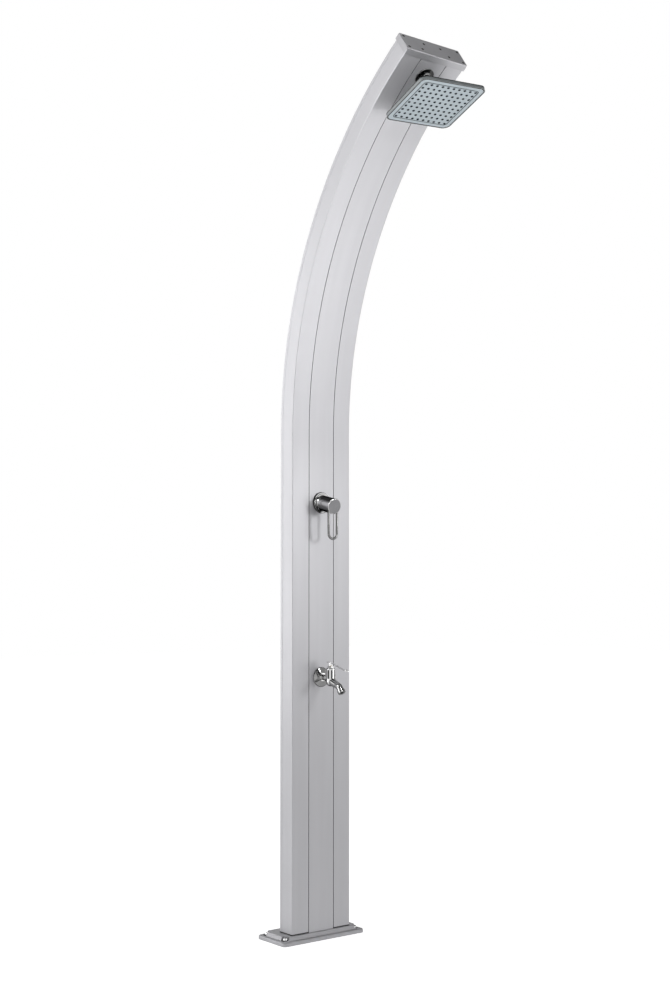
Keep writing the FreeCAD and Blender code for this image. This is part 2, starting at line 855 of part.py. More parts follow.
def cartridge_nut():
    """The domed nut that holds the cartridge in the body; the handle's skirt moves over it."""
    foot = mixer_flange_height - mixer_neck_sunk
    shoulder = cartridge_nut_tip_radius + cartridge_nut_flat
    inner = cartridge_radius - cartridge_nut_chamfer
    body = turned(
        [
            (inner, cartridge_front),
            (cartridge_radius, cartridge_front),
            (cartridge_radius, foot),
            (mixer_neck_radius, foot),
            (mixer_neck_radius, foot + cartridge_nut_chamfer / 2),
            (shoulder, foot + 3 * cartridge_nut_chamfer),
            (shoulder - cartridge_nut_chamfer, cartridge_nut_front - cartridge_nut_flat),
            (cartridge_nut_tip_radius - cartridge_nut_chamfer, cartridge_nut_front),
            (cartridge_nut_bore, cartridge_nut_front),
            (cartridge_nut_bore, foot + cartridge_nut_flat),
            (inner, foot),
        ]
    )
    return on_front(body, mixer_height)


def spindle():
    half = spindle_across / 2
    bar = box(-half, half, -half, half, -spindle_back, spindle_front)
    pin_hole = cylinder(spindle_pin_radius + screw_clearance, -half - past, half + past)
    bar = bar.cut(turn(pin_hole, 90, Y_AXIS))
    thread_back = hub_screw_seat() - hub_screw_length - 2 * past
    bar = bar.cut(cylinder(hub_screw_radius + screw_clearance, thread_back, spindle_front + past))
    return closed_handle(bar)


def hub_disc_seat():
    return hub_front - hub_disc_thickness


def hub_screw_seat():
    """Where the screw's head bears, in a well under the end disc."""
    return hub_disc_seat() - hub_screw_head - past


def handle_hub():
    body = cylinder(hub_radius, hub_back, hub_front)
    ends = [e for e in body.Edges if len(e.Vertexes) == 1 and e.BoundBox.ZMin > hub_front - 0.01]
    body = body.makeFillet(hub_edge_round, ends)
    body = body.cut(cylinder(hub_radius - hub_wall, hub_back - past, hub_core_back))
    body = body.fuse(cylinder(hub_boss_radius, hub_boss_back, hub_core_back + past)).removeSplitter()
    half = spindle_across / 2 + lever_socket_gap
    body = body.cut(box(-half, half, -half, half, hub_back, spindle_front + cartridge_fit))
    body = body.cut(cylinder(hub_radius - hub_wall, hub_disc_seat(), hub_front + past))
    seat = hub_screw_seat()
    body = body.cut(cylinder(hub_screw_head_radius + hub_disc_gap, seat, hub_disc_seat() + past))
    body = body.cut(cylinder(hub_screw_radius + hub_disc_gap, hub_core_back, hub_disc_seat()))
    inner_end = lever_root - lever_socket_gap
    socket = cylinder(lever_wire_radius + lever_socket_gap, inner_end, hub_radius + past)
    socket = turn(socket, 90, X_AXIS)
    for side in (-1, 1):
        body = body.cut(on_loop(shift(socket, side * lever_half_width, 0, 0)))
    grub = turn(cylinder(hub_grub_radius, 0, hub_radius + past), 90, X_AXIS)
    return closed_handle(body.cut(shift(grub, 0, 0, hub_grub_along)))


def hub_end_disc():
    radius = hub_radius - hub_wall - hub_disc_gap
    return closed_handle(cylinder(radius, hub_disc_seat(), hub_front - hub_disc_gap))


def hub_screw():
    """It holds the hub on the spindle, behind the end disc."""
    seat = hub_screw_seat()
    top = seat + hub_screw_head
    head = cylinder(hub_screw_head_radius, seat, top)
    body = head.fuse(cylinder(hub_screw_radius, seat - hub_screw_length, seat)).removeSplitter()
    return closed_handle(body.cut(hexagon(hub_screw_socket, top - hub_screw_socket_depth, top + past)))


def hub_grub():
    """It bears on the spindle from the underside of the hub."""
    low = spindle_across / 2 + lever_socket_gap
    high = low + hub_grub_length
    grub = cylinder(hub_grub_radius - screw_clearance, low, high)
    grub = grub.cut(hexagon(hub_grub_socket, high - hub_grub_socket_depth, high + past))
    return closed_handle(shift(turn(grub, 90, X_AXIS), 0, 0, hub_grub_along))


def lever_loop():
    """One bent wire: down one leg, round the bottom and up the other."""
    bottom = -(lever_reach - lever_half_width)
    left = Vector(-lever_half_width, -lever_root, 0)
    right = Vector(lever_half_width, -lever_root, 0)
    left_low = Vector(-lever_half_width, bottom, 0)
    right_low = Vector(lever_half_width, bottom, 0)
    path = Part.Wire(
        [
            Part.LineSegment(left, left_low).toShape(),
            Part.Arc(left_low, Vector(0, -lever_reach, 0), right_low).toShape(),
            Part.LineSegment(right_low, right).toShape(),
        ]
    )
    return closed_handle(on_loop(rod(path, lever_wire_radius)))


# ---- Foot tap, in the same kind of frame ----
def tap_rose():
    body = turned(
        [
            (thread_bore, 0),
            (tap_rose_radius, 0),
            (tap_rose_radius, tap_rose_edge - rose_chamfer),
            (tap_rose_radius - rose_chamfer, tap_rose_edge),
            (tap_rose_hub_radius, tap_rose_height - rose_chamfer),
            (tap_rose_hub_radius - rose_chamfer, tap_rose_height),
            (thread_bore, tap_rose_height),
        ]
    )
    return on_front(body, tap_height)


def upright(radius, low, high, out):
    """A vertical cylinder in a fitting's frame, out in front of the face."""
    return shift(turn(cylinder(radius, low, high), -90, X_AXIS), 0, 0, out)


def tap_spout_path():
    points = [
        (0, -tap_spout_start_down, tap_barrel_out),
        (0, -tap_spout_knee_down, tap_spout_knee_out),
        (0, -tap_spout_end_down, tap_spout_end_out),
    ]
    return route(points, tap_spout_knee_radius)


def spout_end_frame(shape):
    """From Z along the spout's last run, with z = 0 at its end, to the tap's frame."""
    run = Vector(0, tap_spout_knee_down - tap_spout_end_down, tap_spout_end_out - tap_spout_knee_out)
    moved = shape.copy()
    moved.Placement = Placement(Vector(0, -tap_spout_end_down, tap_spout_end_out), Rotation(UP, run))
    return moved


def tap_body():
    body = cylinder(pipe_thread_radius, -tap_shank_back, tap_neck_start)
    body = body.fuse(cylinder(tap_neck_radius, tap_neck_start - past, tap_barrel_out))
    collar = tap_barrel_out - tap_collar_back
    body = body.fuse(cylinder(tap_neck_radius + tap_collar_height, collar, collar + tap_collar_width))
    barrel = upright(tap_barrel_radius, -tap_barrel_bottom, tap_barrel_top, tap_barrel_out)
    rim = [e for e in barrel.Edges if e.BoundBox.YMin > tap_barrel_top - 0.01]
    barrel = barrel.makeFillet(tap_barrel_round, rim)
    flute_ring = tap_barrel_radius + tap_flute_radius - tap_flute_depth
    flute_top = tap_barrel_top - 2 * tap_barrel_round
    flute = upright(tap_flute_radius, -tap_barrel_round, flute_top, tap_barrel_out)
    for i in range(tap_flutes):
        angle = math.radians(360 / tap_flutes * (i + 0.5))
        barrel = barrel.cut(shift(flute, flute_ring * math.cos(angle), 0, flute_ring * math.sin(angle)))
    body = body.fuse(barrel)
    body = body.fuse(Part.makeSphere(tap_barrel_radius, Vector(0, -tap_barrel_bottom, tap_barrel_out)))
    start = Vector(0, -tap_spout_start_down, tap_barrel_out)
    run = Vector(0, -tap_spout_knee_down, tap_spout_knee_out) - start
    root = Part.makeCone(tap_spout_root_radius, tap_spout_radius, tap_spout_root_length, start, run)
    body = body.fuse(root).fuse(rod(tap_spout_path(), tap_spout_radius)).removeSplitter()
    body = body.cut(upright(tap_chamber_radius, 0, tap_barrel_top + past, tap_barrel_out))
    water_way = tap_barrel_out - tap_chamber_radius + tap_inlet_reach
    body = body.cut(cylinder(tap_spout_bore, -tap_shank_back - past, water_way))
    bore = tap_spout_bore - tap_thread_depth
    body = body.cut(upright(bore, -tap_spout_start_down, past, tap_barrel_out))
    body = body.cut(Part.makeSphere(bore, start)).cut(rod(tap_spout_path(), bore))
    screwed = ring(2 * tap_spout_radius, tap_spout_radius - tap_thread_depth, -tap_nozzle_overlap, past)
    return on_front(body.cut(spout_end_frame(screwed)), tap_height)


def tap_nozzle():
    """The ring screwed on the end of the spout."""
    low = -tap_nozzle_overlap + face_gap
    high = low + tap_nozzle_length
    thread = tap_spout_radius - tap_thread_depth + pipe_thread_clearance
    sleeve = cylinder(tap_nozzle_radius, low, high)
    sleeve = sleeve.cut(cylinder(thread, low - past, face_gap))
    sleeve = sleeve.cut(cylinder(tap_spout_bore, 0, high + past))
    inner = tap_nozzle_radius - tap_nozzle_groove_depth
    for along in tap_nozzle_grooves:
        start = low + along
        sleeve = sleeve.cut(ring(tap_nozzle_radius + past, inner, start, start + tap_nozzle_groove_width))
    return on_front(spout_end_frame(sleeve), tap_height)


def on_barrel(shape):
    """From Z along the tap's barrel to the tap's place on the post."""
    return on_front(shift(turn(shape, -90, X_AXIS), 0, 0, tap_barrel_out), tap_height)


def tap_bonnet():
    """The valve's head: it screws down into the barrel and guides the spindle."""
    cover_top = tap_barrel_top + tap_bonnet_cover
    body = cylinder(tap_bonnet_body_radius, tap_bonnet_bottom, tap_barrel_top)
    body = body.fuse(cylinder(tap_bonnet_cover_radius, tap_barrel_top, cover_top))
    body = body.fuse(hexagon(tap_bonnet_across, tap_barrel_top, tap_bonnet_top)).removeSplitter()
    body = body.cut(cylinder(tap_spindle_radius + running_gap, 0, tap_bonnet_top + past))
    return on_barrel(body.cut(cylinder(tap_spindle_collar_radius + running_gap, 0, tap_collar_top)))


def tap_spindle():
    low = tap_disc_bottom + 2 * (tap_disc_thickness + face_gap)
    top = tap_lever_hub_top - tap_lever_cover
    body = cylinder(tap_spindle_radius, low, top)
    body = body.fuse(cylinder(tap_spindle_collar_radius, low, tap_collar_top - face_gap)).removeSplitter()
    thread = cylinder(tap_screw_radius + screw_clearance, top - tap_screw_length, top + past)
    return on_barrel(body.cut(thread))


def tap_disc(low, start):
    """A ceramic disc with two ports, the first at an angle of start degrees."""
    high = low + tap_disc_thickness
    disc = cylinder(tap_disc_radius, low, high)
    port = shift(cylinder(tap_disc_port_radius, low - past, high + past), tap_disc_port_out, 0, 0)
    for angle in (start, start + 180):
        disc = disc.cut(turn(port, angle, UP))
    return on_barrel(disc)


def tap_fixed_disc():
    return tap_disc(tap_disc_bottom, 0)


def tap_turning_disc():
    """Its ports lie across those of the fixed disc while the tap is closed."""
    return tap_disc(tap_disc_bottom + tap_disc_thickness + face_gap, 90)


def tap_lever():
    arm_points = [
        (0, tap_arm_back[1], tap_arm_back[0]),
        (0, tap_arm_middle[1], tap_arm_middle[0]),
        (0, tap_arm_front[1], tap_arm_front[0]),
        (0, tap_eye_centre[1], tap_eye_centre[0]),
    ]
    ahead = Vector(*arm_points[3]) - Vector(*arm_points[2])
    ahead.normalize()
    end = Vector(*arm_points[3]) - ahead * tap_eye_radius
    path = route(arm_points[:3] + [tuple(end)], tap_arm_bend_radius)
    tangent = path.Edges[0].tangentAt(path.Edges[0].FirstParameter)
    oval = Part.Ellipse(Vector(0, 0, 0), tap_arm_half_width, tap_arm_half_thickness).toShape()
    oval.Placement = Placement(Vector(*arm_points[0]), Rotation(X_AXIS, UP.cross(X_AXIS), tangent, "XZY"))
    arm = path.makePipeShell([Part.Wire(oval)], True, False)
    hub = upright(tap_lever_hub_radius, tap_lever_hub_bottom, tap_lever_hub_top, tap_barrel_out)
    rims = [e for e in hub.Edges if len(e.Vertexes) == 1 and e.BoundBox.YLength < 0.01]
    hub = hub.makeFillet(rose_chamfer, rims)
    back_end = Part.makeSphere(tap_arm_end_radius, Vector(*arm_points[0]))
    eye = Part.makeTorus(tap_eye_radius, tap_eye_wire_radius)
    normal = ahead.cross(X_AXIS)
    eye.Placement = Placement(Vector(*arm_points[3]), Rotation(UP, normal))
    lever = hub.fuse(arm).fuse(back_end).fuse(eye).removeSplitter()
    spindle_top = tap_lever_hub_top - tap_lever_cover + face_gap
    lever = lever.cut(upright(tap_spindle_radius + screw_clearance, 0, spindle_top, tap_barrel_out))
    above = 2 * tap_lever_hub_top
    lever = lever.cut(upright(tap_screw_radius + tap_screw_room, 0, above, tap_barrel_out))
    seat_well = upright(tap_screw_head_radius + tap_screw_room, tap_lever_hub_top, above, tap_barrel_out)
    return on_front(lever.cut(seat_well), tap_height)


def tap_lever_screw():
    seat = tap_lever_hub_top
    top = seat + tap_screw_head_height
    body = cylinder(tap_screw_radius, seat - tap_screw_length, seat)
    body = body.fuse(cylinder(tap_screw_head_radius, seat, top)).removeSplitter()
    wide = tap_screw_head_radius + past
    half = tap_screw_slot / 2
    return on_barrel(body.cut(box(-half, half, -wide, wide, top - tap_screw_slot_depth, top + past)))


# ---- Shower arm and head ----
def rose_seat():
    """A flat rose on the hollow curve of the front face touches at its top and bottom edges."""
    return bend_radius - math.sqrt(bend_radius ** 2 - shower_rose_radius ** 2) + face_gap


def shower_rose():
    low = rose_seat()
    body = turned(
        [
            (thread_bore, low),
            (shower_rose_radius, low),
            (shower_rose_radius, low + shower_rose_edge),
            (shower_rose_radius - rose_chamfer, low + shower_rose_edge + rose_chamfer),
            (shower_rose_hub_radius + 3 * rose_chamfer, shower_rose_height - 3 * rose_chamfer),
            (shower_rose_hub_radius, shower_rose_height - rose_chamfer),
            (shower_rose_hub_radius - rose_chamfer, shower_rose_height),
            (thread_bore, shower_rose_height),
        ]
    )
    return on_bend(body, shower_angle)


def shower_stem():
    """A hexagon and a cone on a half-inch shank, then the neck with the ball that the head turns on."""
    hex_end = stem_hex_start + stem_hex_length
    body = cylinder(pipe_thread_radius, -stem_shank_back, stem_hex_start + past)
    body = body.fuse(hexagon(stem_hex_across, stem_hex_start, hex_end))
    base = stem_hex_across / 2 - rose_chamfer
    body = body.fuse(Part.makeCone(base, stem_neck_radius, stem_cone_length, Vector(0, 0, hex_end), UP))
    body = body.fuse(cylinder(stem_neck_radius, hex_end, shower_pivot_out))
    body = body.fuse(Part.makeSphere(ball_radius, Vector(0, 0, shower_pivot_out))).removeSplitter()
    bore_end = shower_pivot_out + ball_radius + past
    body = body.cut(cylinder(stem_bore_radius, -stem_shank_back - past, bore_end))
    return on_bend(body, shower_angle)


def pivot_point():
    spot = Part.Vertex(0, 0, shower_pivot_out)
    return on_bend(spot, shower_angle).Point


def at_pivot(shape, side=True, spin=True):
    """From the head's own frame, its origin the ball's centre and the face towards -z, to its place."""
    moved = turn(shape, -head_turn, UP) if spin else shape
    moved = turn(moved, head_side_tilt, Y_AXIS) if side else moved
    moved = turn(moved, -head_tilt, X_AXIS)
    centre = pivot_point()
    return shift(moved, centre.x, centre.y, centre.z)


def ball_liner():
    """The plastic bearing ring round the ball."""
    inner = ball_radius + running_gap
    outer = inner + liner_thickness
    zone = cylinder(outer + past, -liner_half_height, liner_half_height)
    shell = Part.makeSphere(outer).cut(Part.makeSphere(inner))
    return at_pivot(shell.common(zone), side=False, spin=False)


def swivel_nut():
    cup = ball_radius + running_gap + liner_thickness + running_gap
    mouth = cup * math.sin(math.radians(swivel_opening_angle))
    mouth_height = cup * math.cos(math.radians(swivel_opening_angle))
    body = turned(
        [
            (0, -swivel_nut_bottom),
            (swivel_nut_radius - swivel_chamfer, -swivel_nut_bottom),
            (swivel_nut_radius, -swivel_nut_bottom + swivel_chamfer),
            (swivel_nut_radius, 0),
            (swivel_nut_radius - 2 * swivel_chamfer, swivel_nut_top - swivel_chamfer),
            (mouth + 2 * swivel_chamfer, swivel_nut_top),
            (0, swivel_nut_top),
        ]
    )
    body = body.cut(Part.makeSphere(cup))
    body = body.cut(cylinder(inlet_thread_radius + pipe_thread_clearance, -swivel_nut_bottom - past, 0))
    flare_height = swivel_nut_top - mouth_height + past / 4
    flare = Part.makeCone(mouth, mouth + swivel_flare, flare_height, Vector(0, 0, mouth_height), UP)
    body = body.cut(flare)
    grip = cylinder(swivel_grip_radius, -swivel_nut_bottom + 2 * swivel_chamfer, -2 * swivel_chamfer)
    for i in range(swivel_grips):
        angle = math.radians(360 / swivel_grips * i)
        x = swivel_nut_radius * math.cos(angle)
        y = swivel_nut_radius * math.sin(angle)
        body = body.cut(shift(grip, x, y, 0))
    return at_pivot(body, spin=False)


def ball_seat():
    """The rubber seat between the ball and the top of the inlet boss."""
    top = -inlet_boss_top + ball_seat_thickness
    body = ring(ball_seat_radius, ball_seat_bore, -inlet_boss_top, top)
    return at_pivot(body.cut(Part.makeSphere(ball_radius + running_gap)))


def head_back_height():
    return -head_face_drop + head_edge_height + head_back_rise


def inlet_boss():
    """The threaded brass inlet of the head, with a seat for its filter washer."""
    seat = head_back_height() - head_wall
    low = seat - inlet_flange_thickness
    body = cylinder(inlet_thread_radius, low, -inlet_boss_top)
    body = body.fuse(cylinder(inlet_flange_radius, low, seat)).removeSplitter()
    body = body.cut(cylinder(inlet_boss_bore, low - past, 0))
    return at_pivot(body.cut(cylinder(filter_seat_radius, -inlet_boss_top - filter_seat_depth, 0)))


def filter_washer():
    low = -inlet_boss_top - filter_seat_depth
    return at_pivot(ring(filter_seat_radius - cartridge_fit, filter_bore, low, low + filter_thickness))


def head_shell():
    """The metal back of the head, with its side walls and a collar round the inlet."""
    low = -head_face_drop
    edge = low + head_edge_height
    back = head_back_height()
    slope = (head_size - head_back_size) / 2
    block = rounded_plate(head_size, head_size, head_corner_radius, low, edge)
    outer_wire = rounded_wire(head_size, head_size, head_corner_radius, edge)
    back_wire = rounded_wire(head_back_size, head_back_size, head_corner_radius, back)
    block = block.fuse(Part.makeLoft([outer_wire, back_wire], True, True))
    inner_size = head_size - 2 * face_margin
    inner_radius = head_corner_radius - face_margin
    inner_edge = edge - head_wall / 2
    hollow = rounded_plate(inner_size, inner_size, inner_radius, low - past, inner_edge)
    inner_wire = rounded_wire(inner_size, inner_size, inner_radius, inner_edge)
    top_size = inner_size - 2 * slope + 2 * head_wall
    top_wire = rounded_wire(top_size, top_size, inner_radius, back - head_wall)
    hollow = hollow.fuse(Part.makeLoft([inner_wire, top_wire], True, True))
    collar = cylinder(head_collar_radius, back - head_wall / 2, back + head_collar_height)
    shell = block.cut(hollow).fuse(collar).removeSplitter()
    bore = inlet_thread_radius + pipe_thread_clearance
    shell = shell.cut(cylinder(bore, back - head_wall - past, back + head_collar_height + past))
    return at_pivot(shell)


def nozzle_spots():
    first = -nozzle_pitch * (nozzles_per_side - 1) / 2
    steps = [first + nozzle_pitch * i for i in range(nozzles_per_side)]
    return [(x, y) for x in steps for y in steps]


def face_plate():
    low = -head_face_drop
    high = low + face_thickness
    margin = face_margin + face_gap_round
    size = head_size - 2 * margin
    plate = rounded_plate(size, size, head_corner_radius - margin, low, high)
    rim = [e for e in plate.Edges if e.BoundBox.ZMax < low + 0.01]
    plate = plate.makeChamfer(face_chamfer, rim)
    groove_top = low + face_groove_depth
    groove = rounded_plate(face_groove_size, face_groove_size, face_groove_radius, low - past, groove_top)
    inner_size = face_groove_size - 2 * face_groove_width
    inner_radius = face_groove_radius - face_groove_width
    inner = rounded_plate(inner_size, inner_size, inner_radius, low - 2 * past, groove_top + past)
    plate = plate.cut(groove.cut(inner))
    hole = cylinder(nozzle_radius + nozzle_gap, low - past, high + past)
    holes = [shift(hole, x, y, 0) for x, y in nozzle_spots()]
    return at_pivot(plate.cut(Part.makeCompound(holes)))


def nozzle_mat():
    """One rubber mat behind the face, with a nozzle through each hole."""
    tip = -head_face_drop - nozzle_length
    mat_bottom = -head_face_drop + face_thickness
    root = mat_bottom + mat_thickness / 2
    size = head_size - 2 * (face_margin + mat_margin)
    mat_top = mat_bottom + mat_thickness
    mat = rounded_plate(size, size, head_corner_radius - face_margin, mat_bottom, mat_top)
    nozzle = turned(
        [
            (0, tip),
            (nozzle_radius - nozzle_tip_chamfer, tip),
            (nozzle_radius, tip + nozzle_tip_chamfer),
            (nozzle_radius, root),
            (0, root),
        ]
    )
    nozzle = nozzle.cut(cylinder(nozzle_bore_radius, tip - past, tip + nozzle_bore_depth))
    nozzles = [shift(nozzle, x, y, 0) for x, y in nozzle_spots()]
    return at_pivot(mat.multiFuse(nozzles).removeSplitter())


# ---- Water pipes ----
def locknut():
    """It clamps a half-inch thread to the panel; made where it lies behind the panel."""
    top = -panel_thickness
    low = top - locknut_thickness
    return hexagon(locknut_across, low, top).cut(cylinder(thread_bore, low - past, top + past))


def panel_locknuts():
    return [on_front(locknut(), tap_height), on_bend(locknut(), shower_angle)]


def elbow_sleeve():
    return cylinder(elbow_sleeve_radius, -elbow_sleeve_back, -elbow_sleeve_front)


def elbow_bore(shank_end):
    """The threaded socket for the shank, and the water's way behind it."""
    socket = cylinder(thread_bore, -shank_end - face_gap, -elbow_sleeve_front + past)
    return socket.fuse(cylinder(tail_bore, -pipe_depth - tail_bore, -shank_end))


def tap_elbow():
    body = elbow_sleeve().fuse(pipe_tail(0, -tail_length, 0)).removeSplitter()
    body = body.cut(elbow_bore(tap_shank_back)).cut(pipe_bore(0, -tail_length - past, 0))
    return on_front(body, tap_height)


def degrees_along(length):
    """An arc length at the depth of the pipes, as an angle of the bend."""
    return math.degrees(length / (bend_radius + pipe_depth))


def shower_elbow():
    """As the tap's elbow, but its tail follows the bend."""
    tail_angle = shower_angle - degrees_along(tail_length)
    tail_end = tail_length - tail_bore / 2
    body = on_bend(elbow_sleeve(), shower_angle).fuse(on_bend(pipe_tail(0, 0, tail_end), tail_angle))
    body = body.removeSplitter().cut(on_bend(elbow_bore(stem_shank_back), shower_angle))
    return body.cut(on_bend(pipe_bore(0, -past, tail_length), tail_angle))


def hose_nut():
    """Along Z: its lower half screws on a small thread and its upper half holds the hose."""
    nut = hexagon(hose_nut_across, -hose_nut_half, hose_nut_half)
    nut = nut.cut(cylinder(tail_radius + pipe_thread_clearance, -hose_nut_half - past, 0))
    return nut.cut(cylinder(hose_radius + hose_nut_gap, -past, hose_nut_half + past))


def pipe_y():
    return front_y + pipe_depth


def hose_ends():
    """Where each hose meets a small thread: the point, and the hose's direction from there."""
    mixer_low = mixer_height - mixer_tail_length
    hot_top = inlet_height + inlet_tail_length
    cold_top = inlet_height + tee_tail_length
    branch_x = inlet_x - tee_branch_length
    return {
        "hot_low": (Vector(-inlet_x, pipe_y(), hot_top), UP),
        "hot_high": (Vector(-mixer_tail_x, pipe_y(), mixer_low), -UP),
        "cold_low": (Vector(inlet_x, pipe_y(), cold_top), UP),
        "cold_high": (Vector(mixer_tail_x, pipe_y(), mixer_low), -UP),
        "tap_low": (Vector(branch_x, pipe_y(), inlet_height + tee_branch_rise), -X_AXIS),
        "tap_high": (Vector(0, pipe_y(), tap_height - tail_length), -UP),
        "riser_low": (Vector(0, pipe_y(), mixer_height + mixer_tail_length), UP),
    }


def hose_nuts():
    nuts = []
    for point, direction in hose_ends().values():
        nut = hose_nut()
        nut.Placement = Placement(point, Rotation(UP, direction))
        nuts.append(nut)
    top = turn(hose_nut(), 90, X_AXIS)
    nuts.append(on_bend(shift(top, 0, 0, -pipe_depth), shower_angle - degrees_along(tail_length)))
    return nuts


def supply_hose(low, high, side):
    start, end = hose_ends()[low][0], hose_ends()[high][0]
    x = side * hose_side_x
    y = pipe_y()
    points = [
        tuple(start),
        (start.x, y, start.z + hose_start_run),
        (x, y, start.z + hose_slant_run),
        (x, y, end.z - hose_top_slant),
        (end.x, y, end.z - hose_top_run),
        tuple(end),
    ]
    return hose(route(points, hose_corner_radius))


def tap_hose():
    start, end = hose_ends()["tap_low"][0], hose_ends()["tap_high"][0]
    points = [tuple(start), (0, pipe_y(), start.z), tuple(end)]
    return hose(route(points, tap_hose_corner))


def riser_hose():
    start = hose_ends()["riser_low"][0]
    arc_start = Vector(0, pipe_y(), bend_start)
    end_angle = shower_angle - degrees_along(tail_length)
    radius = bend_radius + pipe_depth

    def on_arc(degrees):
        angle = math.radians(degrees)
        return bend_axis + Vector(0, radius * math.cos(angle), radius * math.sin(angle))

    path = Part.Wire(
        [
            Part.LineSegment(start, arc_start).toShape(),
            Part.Arc(arc_start, on_arc(end_angle / 2), on_arc(end_angle)).toShape(),
        ]
    )
    return hose(path)


def hose_clips():
    """Saddles on the column's back wall that hold the riser hose."""
    inner = hose_radius + clip_gap
    wall = column_depth - column_wall - pipe_depth - clip_seat_gap
    half = clip_width / 2
    foot_half = clip_foot_width / 2
    clip = ring(inner + clip_wall, inner, -half, half)
    clip = clip.fuse(box(-clip_wall, clip_wall, inner + clip_wall / 2, wall, -half, half))
    clip = clip.fuse(box(-foot_half, foot_half, wall - clip_foot_thickness, wall, -half, half))
    clip = clip.removeSplitter()
    clips = []
    for angle in clip_angles:
        along = math.radians(min(angle, 0)) * bend_radius
        placed = shift(clip, 0, pipe_y(), bend_start + along)
        clips.append(along_bend(placed, max(angle, 0)))
    return clips


def backwards(radius, y0, y1):
    """A cylinder along Y at the height of the inlets, on the middle plane."""
    return shift(turn(cylinder(radius, -y1, -y0), 90, X_AXIS), 0, 0, inlet_height)


def inlet_fitting(tail_height):
    """A half-inch inlet through the back wall, turning up inside the column, on the middle plane."""
    inner_back = back_y - column_wall
    free_start = back_y + inlet_thread_length
    free_end = free_start + inlet_free_length
    top = inlet_height + tail_height
    body = backwards(inlet_body_radius, pipe_y() - inlet_body_radius, inner_back)
    body = body.fuse(backwards(inlet_shoulder_radius, inner_back - inlet_shoulder_thickness, inner_back))
    body = body.fuse(backwards(inlet_thread_radius_sunk, inner_back - past, free_start))
    body = body.fuse(backwards(inlet_free_radius, free_start, free_end))
    body = body.fuse(cylinder(tail_radius, inlet_height, top, 0, pipe_y())).removeSplitter()
    body = body.cut(backwards(inlet_bore, pipe_y(), free_end + past))
    return body.cut(cylinder(tail_bore, inlet_height, top + past, 0, pipe_y()))


def hot_inlet():
    return shift(inlet_fitting(inlet_tail_length), -inlet_x, 0, 0)


def cold_inlet_tee():
    """It also feeds the foot tap, through a branch that points to the middle."""
    z = inlet_height + tee_branch_rise
    top = inlet_height + tee_tail_length
    body = inlet_fitting(tee_tail_length)
    branch = turn(cylinder(tail_radius, 0, tee_branch_length), -90, Y_AXIS)
    body = body.fuse(shift(branch, 0, pipe_y(), z))
    body = body.fuse(Part.makeSphere(tee_body_radius, Vector(0, pipe_y(), z))).removeSplitter()
    body = body.cut(cylinder(tail_bore, inlet_height, top + past, 0, pipe_y()))
    bore = turn(cylinder(tail_bore, 0, tee_branch_length + past), -90, Y_AXIS)
    return shift(body.cut(shift(bore, 0, pipe_y(), z)), inlet_x, 0, 0)


def on_inlets(shape):
    """A piece on the back of the post, z out of the back wall reversed, at both inlets."""
    turned_back = turn(shape, 90, X_AXIS)
    return [shift(turned_back, side * inlet_x, back_y, inlet_height) for side in (-1, 1)]


def inlet_washers():
    return on_inlets(ring(inlet_washer_radius, inlet_nut_bore, -inlet_washer_thickness, 0))


def inlet_locknuts():
    low = -inlet_washer_thickness - locknut_thickness
    nut = hexagon(inlet_nut_across, low, -inlet_washer_thickness)
    return on_inlets(nut.cut(cylinder(inlet_nut_bore, low - past, past)))


def main():
    os.makedirs("parts", exist_ok=True)
    save("column_profile", column_profile())
    save("front_panel", front_panel())
    save("foot_plate", foot_plate())
    save("foot_seal", foot_seal())
    save("foot_screws", foot_screws())
    save("bolt_washers", washers())
    save("dome_nuts", dome_nuts())
    save("cap_gasket", cap_gasket())
    save("top_cap", top_cap())
    save("cap_screws", cap_screws())
    save("mixer_seal", mixer_seal())
    save("mixer_flange", mixer_flange())
    save("mixer_washer", mixer_washer())
    save("mixer_body", mixer_body())
    save("cartridge_housing", cartridge_housing())
    save("cartridge_disc", cartridge_disc())
    save("cartridge_rotor", cartridge_rotor())
    save("spindle_pin", spindle_pin())
    save("cartridge_nut", cartridge_nut())
    save("mixer_spindle", spindle())
    save("handle_hub", handle_hub())
    save("hub_end_disc", hub_end_disc())
    save("hub_screw", hub_screw())
    save("hub_grub_screw", hub_grub())
    save("lever_loop", lever_loop())
    save("tap_rose", tap_rose())
    save("tap_body", tap_body())
    save("tap_nozzle", tap_nozzle())
    save("tap_bonnet", tap_bonnet())
    save("tap_spindle", tap_spindle())
    save("tap_fixed_disc", tap_fixed_disc())
    save("tap_turning_disc", tap_turning_disc())
    save("tap_lever", tap_lever())
    save("tap_lever_screw", tap_lever_screw())
    save("shower_rose", shower_rose())
    save("shower_stem", shower_stem())
    save("ball_liner", ball_liner())
    save("swivel_nut", swivel_nut())
    save("ball_seat", ball_seat())
    save("inlet_boss", inlet_boss())
    save("filter_washer", filter_washer())
    save("head_shell", head_shell())
    save("face_plate", face_plate())
    save("nozzle_mat", nozzle_mat())
    save("panel_locknuts", panel_locknuts())
    save("tap_elbow", tap_elbow())
    save("shower_elbow", shower_elbow())
    save("hose_nuts", hose_nuts())
    save("hot_hose", supply_hose("hot_low", "hot_high", -1))
    save("cold_hose", supply_hose("cold_low", "cold_high", 1))
    save("tap_hose", tap_hose())
    save("riser_hose", riser_hose())
    save("hose_clips", hose_clips())
    save("hot_inlet", hot_inlet())
    save("cold_inlet_tee", cold_inlet_tee())
    save("inlet_washers", inlet_washers())
    save("inlet_locknuts", inlet_locknuts())


main()
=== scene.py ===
import json
import math

import bmesh
import bpy
from mathutils import Matrix, Vector


